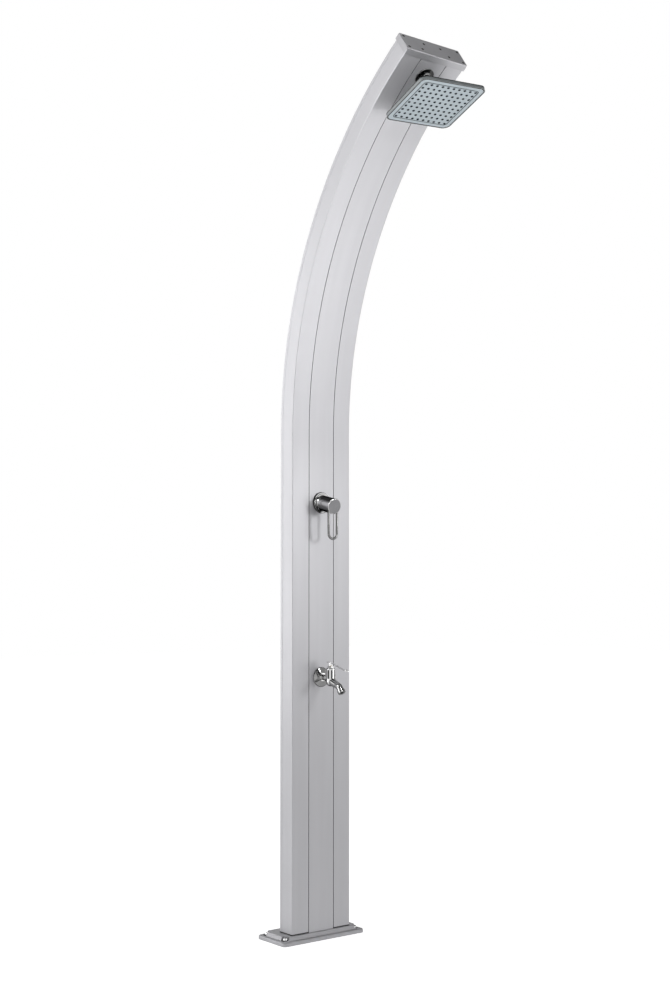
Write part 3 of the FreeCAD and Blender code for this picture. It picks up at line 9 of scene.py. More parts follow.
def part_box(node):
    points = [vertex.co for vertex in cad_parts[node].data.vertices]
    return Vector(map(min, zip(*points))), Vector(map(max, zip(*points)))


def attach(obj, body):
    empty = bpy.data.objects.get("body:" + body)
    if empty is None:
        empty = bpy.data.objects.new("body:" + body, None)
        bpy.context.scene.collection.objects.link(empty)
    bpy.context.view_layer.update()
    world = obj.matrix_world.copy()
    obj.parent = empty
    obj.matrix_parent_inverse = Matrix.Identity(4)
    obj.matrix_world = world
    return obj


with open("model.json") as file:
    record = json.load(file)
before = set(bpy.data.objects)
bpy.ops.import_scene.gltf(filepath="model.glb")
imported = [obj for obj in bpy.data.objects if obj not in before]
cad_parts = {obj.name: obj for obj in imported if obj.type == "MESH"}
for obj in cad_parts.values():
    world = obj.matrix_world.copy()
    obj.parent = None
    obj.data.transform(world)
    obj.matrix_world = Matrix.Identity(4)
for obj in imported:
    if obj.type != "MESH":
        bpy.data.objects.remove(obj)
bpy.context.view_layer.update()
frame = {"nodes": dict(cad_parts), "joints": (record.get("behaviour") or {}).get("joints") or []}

# Outdoor shower post: finishes, small details, studio and camera. Metres, in the same frame as the
# CAD model: +Z up, the front of the post faces -Y, the origin is in the middle of the floor bolts.

NODES = frame["nodes"]
JOINTS = {joint["name"]: joint for joint in frame["joints"]}

# ---- Sizes that the finishes and the small pieces follow ----
FRONT_Y = -0.04475           # plane of the front face
BEND_START = 1.3973          # height at which the straight part ends
BEND_RADIUS = 1.1295         # of the front face
BEND_AXIS_Y = FRONT_Y - BEND_RADIUS
GROOVE_X = 0.0430            # middle of the groove beside the front panel
GROOVE_REACH = 0.0012        # a little more than half its width
# Painted shade: between these two depths under the front face, the groove is coloured near black.
GROOVE_TOP = 0.0006          # depths under the front face between which the groove is dark
GROOVE_FLOOR = 0.012

MIXER = Vector(JOINTS["mixer_flow"]["pos_m"])
FLANGE_RADIUS = 0.0290
# Painted shade: the flange's outer wall, between these distances from its axis, is coloured near black.
FLANGE_WALL = (FLANGE_RADIUS - 0.0007, FLANGE_RADIUS + 0.0010)   # distances from its axis

TAP_HEIGHT = JOINTS["tap_turn"]["pos_m"][2]
ROSE_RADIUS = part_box("tap_rose")[1].x
BARREL_Y = JOINTS["tap_turn"]["pos_m"][1]
BARREL_RADIUS = 0.0130
# Painted shade: the barrel's flute hollows, between these distances from its axis and these heights, are
# coloured near black.
FLUTE_WALL = (BARREL_RADIUS - 0.0020, BARREL_RADIUS - 0.0006)
FLUTE_HEIGHTS = (TAP_HEIGHT - 0.002, TAP_HEIGHT + 0.0225)

INLET_SPACING = 0.120
INLET_HEIGHT = 0.150

# The head's own frame: its origin in the middle of the ball, its face towards -Z.
HEAD_PIVOT = Vector(JOINTS["head_spin"]["pos_m"])
HEAD_AXIS = Vector(JOINTS["head_spin"]["axis"])
HEAD_TILT = math.radians(14.7)        # forwards from level
HEAD_SIDE_TILT = math.radians(1.1)
HEAD_TURN = math.radians(8.8)
HEAD_FRAME = (
    Matrix.Translation(HEAD_PIVOT)
    @ Matrix.Rotation(-HEAD_TILT, 4, "X")
    @ Matrix.Rotation(HEAD_SIDE_TILT, 4, "Y")
    @ Matrix.Rotation(-HEAD_TURN, 4, "Z")
)
HEAD_SIZE = 0.196
HEAD_CORNER = 0.019
FACE_DROP = 0.045            # from the ball's middle to the face
# Painted shade: what lies deeper in the face than FACE_SKIN is coloured near black.
FACE_SKIN = 0.0004           # what lies deeper in the face than this is dark
EDGE_HEIGHT = 0.009          # of the head's side walls
# Painted shade: a near-black line on the side walls, between these two depths under their upper edge.
EDGE_SHADE_LINE = (0.0022, 0.0001)   # how far the dark line's lower and upper ends lie under their edge
RIM_WIDTH = 0.003            # metal round the face


# ---- Node helpers ----
class Nodes:
    """A node tree under construction: short names for its nodes and links."""

    def __init__(self, tree):
        self.tree = tree

    def node(self, kind, **settings):
        made = self.tree.nodes.new(kind)
        for key, value in settings.items():
            setattr(made, key, value)
        return made

    def put(self, socket, value):
        """A number or colour is set on the socket, and a socket is linked to it."""
        if isinstance(value, bpy.types.NodeSocket):
            self.tree.links.new(value, socket)
        else:
            socket.default_value = value

    def math(self, operation, *values):
        made = self.node("ShaderNodeMath", operation=operation)
        for socket, value in zip(made.inputs, values):
            self.put(socket, value)
        return made.outputs[0]

    def position(self):
        """The surface point in the model's frame, in metres, where it lies at rest."""
        return self.node("ShaderNodeTexCoord").outputs["Object"]

    def scaled(self, vector, scale):
        made = self.node("ShaderNodeVectorMath", operation="MULTIPLY")
        self.put(made.inputs[0], vector)
        self.put(made.inputs[1], scale)
        return made.outputs[0]

    def noise(self, vector, scale, detail=2.0, roughness=0.5):
        made = self.node("ShaderNodeTexNoise")
        self.put(made.inputs["Vector"], vector)
        self.put(made.inputs["Scale"], scale)
        self.put(made.inputs["Detail"], detail)
        self.put(made.inputs["Roughness"], roughness)
        return made.outputs["Fac"]

    def spread(self, value, low, high, start=0.3, end=0.7):
        """Maps start to end, by default the middle of a noise's range, on low to high."""
        made = self.node("ShaderNodeMapRange")
        for socket, number in zip(made.inputs, (value, start, end, low, high)):
            self.put(socket, number)
        return made.outputs[0]

    def blend(self, factor, first, second):
        made = self.node("ShaderNodeMix", data_type="RGBA")
        self.put(made.inputs[0], factor)
        self.put(made.inputs[6], first)
        self.put(made.inputs[7], second)
        return made.outputs[2]

    def bump(self, height, distance, strength=1.0, under=None):
        made = self.node("ShaderNodeBump")
        self.put(made.inputs["Height"], height)
        self.put(made.inputs["Distance"], distance)
        self.put(made.inputs["Strength"], strength)
        if under is not None:
            self.put(made.inputs["Normal"], under)
        return made.outputs[0]

    def ramp(self, value, stops):
        """Greys along the value: each stop is a place and its grey, with an even run between two."""
        made = self.node("ShaderNodeValToRGB")
        self.put(made.inputs[0], value)
        elements = made.color_ramp.elements
        while len(elements) < len(stops):
            elements.new(1.0)
        for element, (place, grey) in zip(elements, stops):
            element.position = place
            element.color = shade(grey)
        return made.outputs["Color"]

    def split(self, vector):
        made = self.node("ShaderNodeSeparateXYZ")
        self.put(made.inputs[0], vector)
        return made.outputs

    def between(self, value, low, high):
        """1 where the value lies between two limits."""
        above = self.math("GREATER_THAN", value, low)
        return self.math("MULTIPLY", above, self.math("LESS_THAN", value, high))


class Shader(Nodes):
    """A material under construction."""

    def __init__(self, name):
        self.material = bpy.data.materials.new(name)
        self.material.use_nodes = True
        super().__init__(self.material.node_tree)
        self.surface = self.tree.nodes["Principled BSDF"]

    def finish(self, **values):
        """Sets the surface's inputs by name, with _ for a space."""
        for key, value in values.items():
            self.put(self.surface.inputs[key.replace("_", " ")], value)
        return self.material


def shade(grey, tint=(1.0, 1.0, 1.0)):
    return (grey * tint[0], grey * tint[1], grey * tint[2], 1.0)


LILAC = (0.99, 0.985, 1.025)


# ---- Finishes ----
def along_extrusion(s):
    """The point as (across, depth, length along the extrusion), so that draw lines follow the bend."""
    x, y, z = s.split(s.position())
    up = s.math("MAXIMUM", s.math("SUBTRACT", z, BEND_START), 0.0)
    low = s.math("MINIMUM", s.math("SUBTRACT", z, BEND_START), 0.0)
    out = s.math("SUBTRACT", y, BEND_AXIS_Y)
    depth = s.math("SQRT", s.math("ADD", s.math("MULTIPLY", up, up), s.math("MULTIPLY", out, out)))
    arc = s.math("MULTIPLY", s.math("ARCTAN2", up, out), BEND_RADIUS)
    joined = s.node("ShaderNodeCombineXYZ")
    for socket, value in zip(joined.inputs, (x, depth, s.math("ADD", low, arc))):
        s.put(socket, value)
    return joined.outputs[0]


def groove_shade_mask(s, place):
    """1 on the walls and floor of the two grooves beside the front panel, where painted shade goes."""
    x, depth, _ = s.split(place)
    aside = s.math("SUBTRACT", s.math("ABSOLUTE", x), GROOVE_X)
    sunk = s.math("SUBTRACT", depth, BEND_RADIUS)
    beside = s.between(aside, -GROOVE_REACH, GROOVE_REACH)
    return s.math("MULTIPLY", beside, s.between(sunk, GROOVE_TOP, GROOVE_FLOOR))


def head_height(s):
    """How far a point lies over the ball's middle, along the head's axis."""
    from_pivot = s.node("ShaderNodeVectorMath", operation="SUBTRACT")
    s.put(from_pivot.inputs[0], s.position())
    s.put(from_pivot.inputs[1], HEAD_PIVOT)
    along = s.node("ShaderNodeVectorMath", operation="DOT_PRODUCT")
    s.put(along.inputs[0], from_pivot.outputs[0])
    s.put(along.inputs[1], HEAD_AXIS)
    return along.outputs["Value"]


def distance_from(s, first, second):
    """How far a point lies from an axis. The two coordinates across it are given as (socket, centre)."""
    squares = []
    for value, centre in (first, second):
        aside = s.math("SUBTRACT", value, centre)
        squares.append(s.math("MULTIPLY", aside, aside))
    return s.math("SQRT", s.math("ADD", *squares))


def anodised_aluminium():
    """Satin silver anodising over fine draw lines that run with the extrusion, with painted shade in the
    grooves beside the front panel.
    """
    s = Shader("anodised_aluminium")
    place = along_extrusion(s)
    lines = s.noise(s.scaled(place, (1.0, 1.0, 0.004)), 2600.0, 3.0, 0.7)
    bands = s.noise(s.scaled(place, (1.0, 1.0, 0.06)), 42.0, 2.0)
    cloud = s.noise(place, 5.0, 3.0)
    grain = s.noise(place, 5200.0, 1.0)
    tone = s.math("ADD", s.math("MULTIPLY", bands, 0.5), s.math("MULTIPLY", cloud, 0.5))
    colour = s.blend(s.spread(tone, 0.0, 1.0), shade(0.55, LILAC), shade(0.59, LILAC))
    groove_shade = groove_shade_mask(s, place)
    # Painted shade: the grooves' walls and floor are coloured near black, and their gloss is halved.
    colour = s.blend(groove_shade, colour, shade(0.02))
    rough = s.math("ADD", s.spread(lines, -0.035, 0.035), s.spread(cloud, 0.42, 0.47))
    relief = s.bump(lines, 0.00002, 0.35)
    relief = s.bump(grain, 0.00001, 0.25, relief)
    gloss = s.math("MULTIPLY_ADD", groove_shade, -0.5, 0.5)
    return s.finish(
        Base_Color=colour,
        Metallic=0.35,
        Specular_IOR_Level=gloss,
        Roughness=rough,
        Normal=relief,
    )


def cast_aluminium():
    """Bead-blasted casting of the foot."""
    s = Shader("cast_aluminium")
    place = s.position()
    grain = s.noise(place, 1500.0, 3.0, 0.65)
    cloud = s.noise(place, 18.0, 3.0)
    colour = s.blend(s.spread(cloud, 0.0, 1.0), shade(0.44, LILAC), shade(0.50, LILAC))
    rough = s.math("ADD", s.spread(grain, -0.04, 0.04), s.spread(cloud, 0.46, 0.54))
    relief = s.bump(grain, 0.00006, 0.5)
    return s.finish(Base_Color=colour, Metallic=0.45, Roughness=rough, Normal=relief)


def cap_aluminium():
    """Folded sheet of the cap, drawn across, in the column's aluminium, with its grey set a little
    darker than the column's as painted shade for its dark top.
    """
    s = Shader("cap_aluminium")
    place = s.position()
    lines = s.noise(s.scaled(place, (0.01, 1.0, 1.0)), 2200.0, 3.0, 0.7)
    cloud = s.noise(place, 9.0, 3.0)
    # Painted shade: these greys sit below the column's so that the cap's top comes out dark.
    colour = s.blend(s.spread(cloud, 0.0, 1.0), shade(0.48, LILAC), shade(0.53, LILAC))
    rough = s.math("ADD", s.spread(lines, -0.04, 0.04), s.spread(cloud, 0.36, 0.42))
    relief = s.bump(lines, 0.00002, 0.35)
    return s.finish(Base_Color=colour, Metallic=0.5, Roughness=rough, Normal=relief)


# Painted reflections: greys of polished plating by the way it faces, from its undersides (0) through
# its upright sides (0.5) to its tops (1), standing in for the dark and light surroundings it mirrors.
PAINTED_REFLECTION = (
    (0.0, 0.08), (0.2, 0.12), (0.28, 0.36), (0.45, 0.55), (0.62, 0.80),
    (0.73, 0.45), (0.8, 0.16), (0.9, 0.25), (1.0, 0.6),
)
HUB_PAINTED_REFLECTION = (
    (0.0, 0.03), (0.17, 0.03), (0.25, 0.22), (0.42, 0.36), (0.52, 0.9),
    (0.64, 0.9), (0.73, 0.3), (0.82, 0.07), (1.0, 0.2),
)
FLANGE_PAINTED_REFLECTION = (
    (0.0, 0.04), (0.25, 0.10), (0.42, 0.30), (0.5, 0.62), (0.58, 0.5),
    (0.7, 0.2), (0.8, 0.7), (1.0, 0.2),
)
ROSE_PAINTED_REFLECTION = (
    (0.0, 0.05), (0.3, 0.14), (0.44, 0.26), (0.5, 0.30), (0.56, 0.26),
    (0.7, 0.12), (0.85, 0.5), (1.0, 0.3),
)
SPOUT_PAINTED_REFLECTION = (
    (0.0, 0.12), (0.08, 0.12), (0.16, 0.45), (0.4, 0.55), (0.6, 0.75),
    (0.72, 0.45), (0.85, 0.6), (1.0, 0.7),
)
ARM_PAINTED_REFLECTION = ((0.0, 0.35), (0.35, 0.6), (0.5, 0.85), (1.0, 0.95))
NUT_PAINTED_REFLECTION = ((0.0, 0.15), (0.4, 0.45), (0.6, 0.8), (1.0, 0.95))
WIRE_PAINTED_REFLECTION = ((0.0, 0.06), (0.4, 0.16), (0.6, 0.22), (1.0, 0.4))
SMOKY_PAINTED_REFLECTION = (
    (0.0, 0.03), (0.3, 0.08), (0.4, 0.40), (0.47, 0.08), (0.55, 0.55),
    (0.65, 0.08), (0.8, 0.40), (1.0, 0.05),
)


def chrome(name, bands=PAINTED_REFLECTION, edge=0.15, darker=None, rough=(0.05, 0.12)):
    """Polished plating with a faint ripple and water haze. Its grey is a painted reflection that follows
    the way the surface faces, and darker makes a node that is 1 where painted shade turns it nearly
    black."""
    s = Shader(name)
    place = s.position()
    haze = s.noise(place, 60.0, 4.0, 0.6)
    ripple = s.noise(place, 120.0, 1.0)
    facing = s.split(s.node("ShaderNodeTexCoord").outputs["Normal"])[2]
    facing = s.math("ADD", s.math("MULTIPLY_ADD", facing, 0.5, 0.5), s.spread(haze, -0.01, 0.01))
    # Painted reflection: the base colour's grey follows the way the surface faces.
    colour = s.ramp(facing, bands)
    if darker is not None:
        # Painted shade: nearly black where darker is 1.
        colour = s.blend(darker(s), colour, shade(0.03))
    return s.finish(
        Base_Color=colour,
        Metallic=1.0,
        Specular_Tint=shade(edge),
        Roughness=s.spread(haze, *rough),
        Normal=s.bump(ripple, 0.00005, 0.15),
    )


def flange_wall_shade(s):
    """1 on the outer wall of the mixer's flange, where painted shade goes."""
    x, _, z = s.split(s.position())
    return s.between(distance_from(s, (x, MIXER.x), (z, MIXER.z)), *FLANGE_WALL)


def flute_hollow_shade(s):
    """1 in the hollows of the tap's fluted barrel, where painted shade goes."""
    x, y, z = s.split(s.position())
    hollow = s.between(distance_from(s, (x, 0.0), (y, BARREL_Y)), *FLUTE_WALL)
    return s.math("MULTIPLY", hollow, s.between(z, *FLUTE_HEIGHTS))


def head_metal():
    """The head's back and side walls: smoky plating, with a line of painted shade along its upper edge.
    """
    s = Shader("head_metal")
    place = s.position()
    haze = s.noise(place, 45.0, 4.0, 0.6)
    tint = (0.93, 1.0, 1.02)
    colour = s.blend(s.spread(haze, 0.0, 1.0), shade(0.30, tint), shade(0.34, tint))
    edge = EDGE_HEIGHT - FACE_DROP
    line = s.between(head_height(s), edge - EDGE_SHADE_LINE[0], edge - EDGE_SHADE_LINE[1])
    # Painted shade: the line along the side walls' upper edge is coloured near black.
    colour = s.blend(line, colour, shade(0.03))
    return s.finish(Base_Color=colour, Metallic=0.6, Roughness=s.spread(haze, 0.14, 0.22))


def face_plastic():
    """The head's face: pale blue-grey satin moulding, with painted shade in the holes and grooves sunk
    into it.
    """
    s = Shader("face_plastic")
    place = s.position()
    grain = s.noise(place, 2400.0, 2.0)
    cloud = s.noise(place, 14.0, 3.0)
    colour = s.blend(s.spread(cloud, 0.0, 1.0), (0.49, 0.56, 0.60, 1.0), (0.53, 0.60, 0.64, 1.0))
    sunk = s.math("GREATER_THAN", head_height(s), FACE_SKIN - FACE_DROP)
    # Painted shade: the holes and grooves sunk into the face are coloured near black.
    colour = s.blend(sunk, colour, (0.07, 0.085, 0.095, 1.0))
    return s.finish(
        Base_Color=colour,
        Metallic=0.25,
        Roughness=s.spread(cloud, 0.30, 0.36),
        Normal=s.bump(grain, 0.00001, 0.3),
    )


def rubber(name, dark, light, gloss=0.5):
    """Matt rubber with a fine grain."""
    s = Shader(name)
    place = s.position()
    grain = s.noise(place, 1800.0, 3.0, 0.6)
    cloud = s.noise(place, 70.0, 2.0)
    colour = s.blend(s.spread(cloud, 0.0, 1.0), dark, light)
    return s.finish(
        Base_Color=colour,
        Specular_IOR_Level=gloss,
        Roughness=s.spread(grain, 0.55, 0.75),
        Normal=s.bump(grain, 0.00003, 0.4),
    )


def machined(name, first, second, metallic=1.0, rough=(0.22, 0.34)):
    """Turned, milled or moulded parts, with fine marks."""
    s = Shader(name)
    place = s.position()
    marks = s.noise(place, 900.0, 3.0, 0.7)
    cloud = s.noise(place, 40.0, 2.0)
    colour = s.blend(s.spread(cloud, 0.0, 1.0), first, second)
    return s.finish(
        Base_Color=colour,
        Metallic=metallic,
        Roughness=s.spread(marks, *rough),
        Normal=s.bump(marks, 0.00002, 0.3),
    )


def braid():
    """Stainless braid over the hoses."""
    s = Shader("braided_hose")
    place = s.position()
    wave = s.node("ShaderNodeTexWave", wave_type="BANDS", bands_direction="DIAGONAL")
    s.put(wave.inputs["Vector"], place)
    s.put(wave.inputs["Scale"], 260.0)
    s.put(wave.inputs["Distortion"], 1.5)
    weave = wave.outputs["Fac"]
    colour = s.blend(weave, shade(0.30), shade(0.62))
    return s.finish(
        Base_Color=colour,
        Metallic=0.8,
        Roughness=s.spread(weave, 0.32, 0.5, 0.0, 1.0),
        Normal=s.bump(weave, 0.0003, 0.5),
    )


def black_rubber():
    return rubber("black_rubber", shade(0.012), shade(0.022))


BRASS = ((0.58, 0.42, 0.17, 1.0), (0.66, 0.50, 0.22, 1.0))


def finishes():
    """Each CAD node gets its material."""
    slate = ((0.012, 0.018, 0.024, 1.0), (0.020, 0.028, 0.034, 1.0))
    disc = (shade(0.24, LILAC), shade(0.27, LILAC))
    table = {
        anodised_aluminium(): ("column_profile", "front_panel"),
        cap_aluminium(): ("top_cap",),
        cast_aluminium(): ("foot_plate",),
        # The chrome finishes below carry painted reflections, and on the flange's wall and the barrel's
        # flutes also painted shade.
        chrome("chrome"): ("cartridge_nut",),
        chrome("nut_chrome", NUT_PAINTED_REFLECTION, 0.5): ("dome_nuts",),
        chrome("rose_chrome", ROSE_PAINTED_REFLECTION, 0.3): ("tap_rose", "tap_bonnet"),
        chrome("nozzle_chrome", SPOUT_PAINTED_REFLECTION, 0.3): ("tap_nozzle",),
        chrome("fluted_chrome", SPOUT_PAINTED_REFLECTION, 0.3, flute_hollow_shade): ("tap_body",),
        chrome("flange_chrome", FLANGE_PAINTED_REFLECTION, darker=flange_wall_shade): ("mixer_flange",),
        chrome("hub_chrome", HUB_PAINTED_REFLECTION): ("handle_hub",),
        chrome("wire_chrome", WIRE_PAINTED_REFLECTION, 0.02): ("lever_loop",),
        chrome("arm_chrome", ARM_PAINTED_REFLECTION, 1.0, rough=(0.2, 0.3)): ("tap_lever",),
        chrome("smoky_chrome", SMOKY_PAINTED_REFLECTION): ("shower_rose", "shower_stem", "swivel_nut"),
        head_metal(): ("head_shell",),
        face_plastic(): ("face_plate",),
        rubber("nozzle_rubber", *slate, gloss=0.2): ("nozzle_mat",),
        black_rubber(): (
            "foot_seal",
            "cap_gasket",
            "mixer_seal",
            "mixer_washer",
            "ball_seat",
            "inlet_washers",
        ),
        machined("grey_disc", *disc, 0.3, (0.5, 0.6)): ("hub_end_disc",),
        machined("stainless_steel", shade(0.50), shade(0.58)): (
            "bolt_washers",
            "foot_screws",
            "spindle_pin",
            "hub_screw",
            "hub_grub_screw",
            "tap_lever_screw",
        ),
        machined("dark_screws", shade(0.025), shade(0.045), 0.6, (0.38, 0.5)): ("cap_screws",),
        machined("brass", *BRASS): (
            "mixer_body",
            "mixer_spindle",
            "tap_spindle",
            "inlet_boss",
            "panel_locknuts",
            "tap_elbow",
            "shower_elbow",
            "hose_nuts",
            "hot_inlet",
            "cold_inlet_tee",
            "inlet_locknuts",
        ),
        machined("plastic", shade(0.66), shade(0.72), 0.0, (0.35, 0.5)): (
            "cartridge_housing",
            "cartridge_rotor",
            "ball_liner",
            "hose_clips",
            "filter_washer",
        ),
        machined("ceramic", shade(0.80), shade(0.86), 0.0, (0.08, 0.16)): (
            "cartridge_disc",
            "tap_fixed_disc",
            "tap_turning_disc",
        ),
        braid(): ("hot_hose", "cold_hose", "tap_hose", "riser_hose"),
    }
    for finish, names in table.items():
        for name in names:
            data = NODES[name].data
            data.materials.clear()
            data.materials.append(finish)


# ---- Small pieces that the CAD model leaves out ----
BEAD_SIDES = 10
CIRCLE_STEPS = 96
CORNER_STEPS = 10            # in a quarter turn
WALL_GAP = 0.0001            # between a bead and the front face
BEAD_INSET = 0.0002          # the beads' middle lines lie this far inside the fittings' rims
WALL_BEADS = (               # name, height, radius of the fitting, half the bead's thickness
    ("flange_seal_bead", MIXER.z, FLANGE_RADIUS, 0.0011),
    ("rose_seal_bead", TAP_HEIGHT, ROSE_RADIUS, 0.0007),
)
FACE_BEAD = (0.0014, 0.0004)   # half width and half height


def mesh_object(name, made, material, body):
    """Turns a finished bmesh into a smooth piece that rides on a body."""
    bmesh.ops.recalc_face_normals(made, faces=made.faces)
    mesh = bpy.data.meshes.new(name)
    made.to_mesh(mesh)
    made.free()
    for face in mesh.polygons:
        face.use_smooth = True
    mesh.materials.append(material)
    piece = bpy.data.objects.new(name, mesh)
    bpy.context.scene.collection.objects.link(piece)
    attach(piece, body)


def join_rings(made, first, second):
    """A band of faces between two rings of as many points."""
    count = len(first)
    for i in range(count):
        j = (i + 1) % count
        made.faces.new((first[i], first[j], second[j], second[i]))


def bead(name, path, out, across, up, material, body):
    """A rounded rubber bead swept round a flat closed path. Each path point has its own outward
    direction, and out is the path plane's normal; across and up are the half sizes of its oval."""
    made = bmesh.new()
    rings = []
    for point, outward in path:
        ring = []
        for i in range(BEAD_SIDES):
            turn = 2 * math.pi * i / BEAD_SIDES
            spot = point + outward * (across * math.cos(turn)) + out * (up * math.sin(turn))
            ring.append(made.verts.new(spot))
        rings.append(ring)
    for first, second in zip(rings, rings[1:] + rings[:1]):
        join_rings(made, first, second)
    mesh_object(name, made, material, body)


def circle_path(centre, radius):
    """Points of an upright circle that faces the front, with their outward directions."""
    path = []
    for i in range(CIRCLE_STEPS):
        turn = 2 * math.pi * i / CIRCLE_STEPS
        outward = Vector((math.cos(turn), 0.0, math.sin(turn)))
        path.append((centre + outward * radius, outward))
    return path


def rounded_square_path(half, corner, place):
    """Points of a square with round corners in the XY plane of the frame place, round its origin."""
    path = []
    reach = half - corner
    for quarter in range(4):
        facing = math.pi / 2 * quarter
        middle = Matrix.Rotation(facing, 3, "Z") @ Vector((reach, reach, 0.0))
        for i in range(CORNER_STEPS + 1):
            angle = facing + math.pi / 2 * i / CORNER_STEPS
            outward = Vector((math.cos(angle), math.sin(angle), 0.0))
            path.append((place @ (middle + outward * corner), place.to_3x3() @ outward))
    return path


def seals():
    """Rubber beads that show as thin dark lines round the fittings and round the head's face."""
    black = black_rubber()
    for name, height, radius, half in WALL_BEADS:
        centre = Vector((0, FRONT_Y - half - WALL_GAP, height))
        path = circle_path(centre, radius - BEAD_INSET)
        bead(name, path, Vector((0, -1, 0)), half * 0.8, half, black, "post")
    place = HEAD_FRAME @ Matrix.Translation((0, 0, -FACE_DROP))
    path = rounded_square_path(HEAD_SIZE / 2 - RIM_WIDTH, HEAD_CORNER - RIM_WIDTH, place)
    bead("face_seal_bead", path, HEAD_AXIS, *FACE_BEAD, black, "shower_head")


THREAD_PITCH = 0.001814
THREAD_TURNS = 5
THREAD_STEPS = 40            # in one turn
THREAD_ROOT = 0.01040        # just inside the pipe's surface
THREAD_RISE = 0.00065
THREAD_START = 0.0012        # from the pipe's end
THREAD_PROFILE = (           # place along the pipe in pitches, share of the rise
    (-0.42, 0.0),
    (-0.08, 1.0),
    (0.08, 1.0),
    (0.42, 0.0),
)


def inlet_threads():
    """Helical ridges on the half-inch pipes that stand out of the back."""
    brass = machined("thread_brass", *BRASS)
    count = THREAD_TURNS * THREAD_STEPS
    for name, node, side in (
        ("hot_inlet_thread", "hot_inlet", -1),
        ("cold_inlet_thread", "cold_inlet_tee", 1),
    ):
        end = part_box(node)[1].y
        made = bmesh.new()
        rows = []
        for i in range(count + 1):
            turn = 2 * math.pi * i / THREAD_STEPS
            along = end - THREAD_START - THREAD_PITCH * i / THREAD_STEPS
            fade = min(1.0, i / THREAD_STEPS, (count - i) / THREAD_STEPS)
            row = []
            for offset, share in THREAD_PROFILE:
                radius = THREAD_ROOT + THREAD_RISE * fade * share
                x = side * INLET_SPACING / 2 + radius * math.cos(turn)
                z = INLET_HEIGHT + radius * math.sin(turn)
                row.append(made.verts.new((x, along + THREAD_PITCH * offset, z)))
            rows.append(row)
        for first, second in zip(rows, rows[1:]):
            join_rings(made, first, second)
        made.faces.new(rows[0])
        made.faces.new(rows[-1])
        mesh_object(name, made, brass, "post")


# ---- Studio ----
AMBIENT = 0.27               # even light of the studio
WHITE_UP_TO = 0.40           # sine of the elevation up to which the background is white
DARK_FROM = 0.52
OVERHEAD = 0.12              # the background's grey above that
FLOOR_HALF = 14.0
FLOOR_GREY = 0.80
FLOOR_GLOW = 0.82            # what the floor adds for the rays that show the background
LAMPS = (                    # name, place, target, width, height, watts
    ("key", (0.50, -1.20, 1.30), (0.0, 0.0, 1.25), 0.20, 0.25, 2.9),
    ("right", (0.45, -1.15, 1.85), (0.0, -0.45, 2.28), 0.3, 0.3, 1.3),
    ("behind_head", (-0.50, -1.05, 2.33), (-0.03, -0.42, 2.26), 0.20, 0.12, 2.2),
    ("high", (0.60, -2.00, 2.20), (0.0, -0.10, 1.50), 0.5, 0.5, 1.6),
    ("middle", (0.90, -1.50, 0.85), (0.0, 0.0, 0.85), 0.4, 0.5, 1.7),
    ("side", (-1.20, 1.60, 1.50), (-0.1, 0.0, 1.40), 0.6, 2.0, 10.8),
    ("side_high", (-1.60, 0.30, 2.20), (-0.1, -0.30, 2.10), 0.5, 0.8, 8.4),
    ("side_low", (-1.60, 0.60, 0.60), (-0.1, 0.0, 0.60), 0.5, 0.8, 4.1),
    ("top", (-0.55, -0.95, 1.75), (0.0, -0.45, 2.25), 0.4, 0.4, 1.3),
    ("over", (0.20, -0.90, 3.30), (0.0, -0.50, 2.35), 0.6, 0.6, 0.8),
)


def studio_floor():
    """A pale floor that stays white to the camera, apart from the soft shadow on it."""
    mesh = bpy.data.meshes.new("floor")
    corners = [(x * FLOOR_HALF, y * FLOOR_HALF, 0) for x, y in ((-1, -1), (1, -1), (1, 1), (-1, 1))]
    mesh.from_pydata(corners, [], [(0, 1, 2, 3)])
    floor = bpy.data.objects.new("floor", mesh)
    bpy.context.scene.collection.objects.link(floor)
    s = Shader("floor")
    s.tree.nodes.remove(s.surface)
    plain = s.node("ShaderNodeBsdfDiffuse")
    plain.inputs["Color"].default_value = shade(FLOOR_GREY)
    glow = s.node("ShaderNodeEmission")
    glow.inputs["Strength"].default_value = FLOOR_GLOW
    white = s.node("ShaderNodeAddShader")
    s.put(white.inputs[0], plain.outputs[0])
    s.put(white.inputs[1], glow.outputs[0])
    mixed = s.node("ShaderNodeMixShader")
    s.put(mixed.inputs[0], background_rays(s))
    s.put(mixed.inputs[1], plain.outputs[0])
    s.put(mixed.inputs[2], white.outputs[0])
    s.put(s.tree.nodes["Material Output"].inputs["Surface"], mixed.outputs[0])
    mesh.materials.append(s.material)


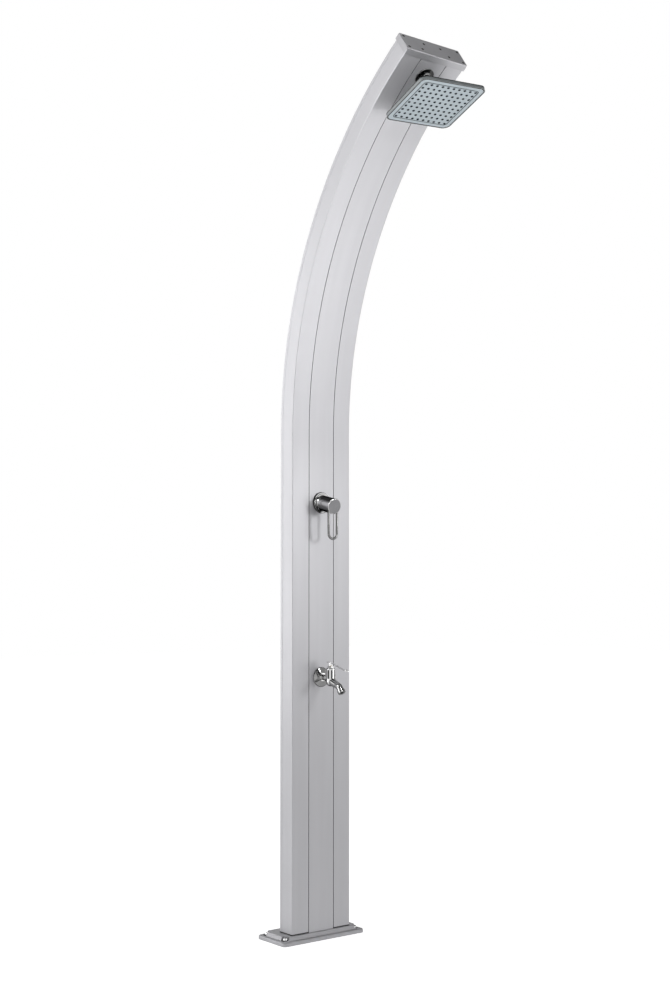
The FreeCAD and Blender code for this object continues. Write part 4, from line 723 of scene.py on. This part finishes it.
def background_rays(s):
    """1 for the rays that show the background: to the camera, and through metal and glass."""
    paths = s.node("ShaderNodeLightPath").outputs
    seen = s.math("MAXIMUM", paths["Is Camera Ray"], paths["Is Glossy Ray"])
    return s.math("MAXIMUM", seen, paths["Is Transmission Ray"])


def studio_world():
    """A white background that darkens overhead, and an even, softer light for everything else."""
    world = bpy.data.worlds.new("studio")
    bpy.context.scene.world = world
    world.use_nodes = True
    s = Nodes(world.node_tree)
    background = s.tree.nodes["Background"]
    up = s.split(s.node("ShaderNodeTexCoord").outputs["Generated"])[2]
    sky = s.ramp(up, ((WHITE_UP_TO, 1.0), (DARK_FROM, OVERHEAD)))
    s.put(background.inputs["Color"], s.blend(background_rays(s), shade(AMBIENT), sky))
    background.inputs["Strength"].default_value = 1.0


def soft_box(name, place, target, width, height, power):
    data = bpy.data.lights.new(name, "AREA")
    data.shape = "RECTANGLE"
    data.size = width
    data.size_y = height
    data.energy = power
    lamp = bpy.data.objects.new(name, data)
    bpy.context.scene.collection.objects.link(lamp)
    lamp.location = place
    lamp.visible_camera = False
    lamp.rotation_euler = (Vector(target) - Vector(place)).to_track_quat("-Z", "Y").to_euler()


PHOTO_HEIGHT_PX = 1000
FOCAL_PX = 1423.8
CAMERA_PLACE = (-2.427, -3.1975, 0.975)
CAMERA_AZIMUTH = math.radians(38.139)   # of the view, from +Y towards +X
CAMERA_RISE = math.radians(3.35)


def camera():
    """The photograph's view: from the left of the front, a little below the mixer."""
    data = bpy.data.cameras.new("camera")
    data.sensor_width = 36.0
    data.lens = FOCAL_PX * data.sensor_width / PHOTO_HEIGHT_PX
    data.clip_end = 100.0
    eye = bpy.data.objects.new("camera", data)
    bpy.context.scene.collection.objects.link(eye)
    eye.location = CAMERA_PLACE
    ahead = math.cos(CAMERA_RISE)
    right = math.sin(CAMERA_AZIMUTH) * ahead
    look = Vector((right, math.cos(CAMERA_AZIMUTH) * ahead, math.sin(CAMERA_RISE)))
    eye.rotation_euler = look.to_track_quat("-Z", "Y").to_euler()
    bpy.context.scene.camera = eye


def studio():
    studio_floor()
    studio_world()
    for lamp in LAMPS:
        soft_box(*lamp)
    bpy.context.scene.view_settings.view_transform = "Standard"


finishes()
seals()
inlet_threads()
studio()
camera()
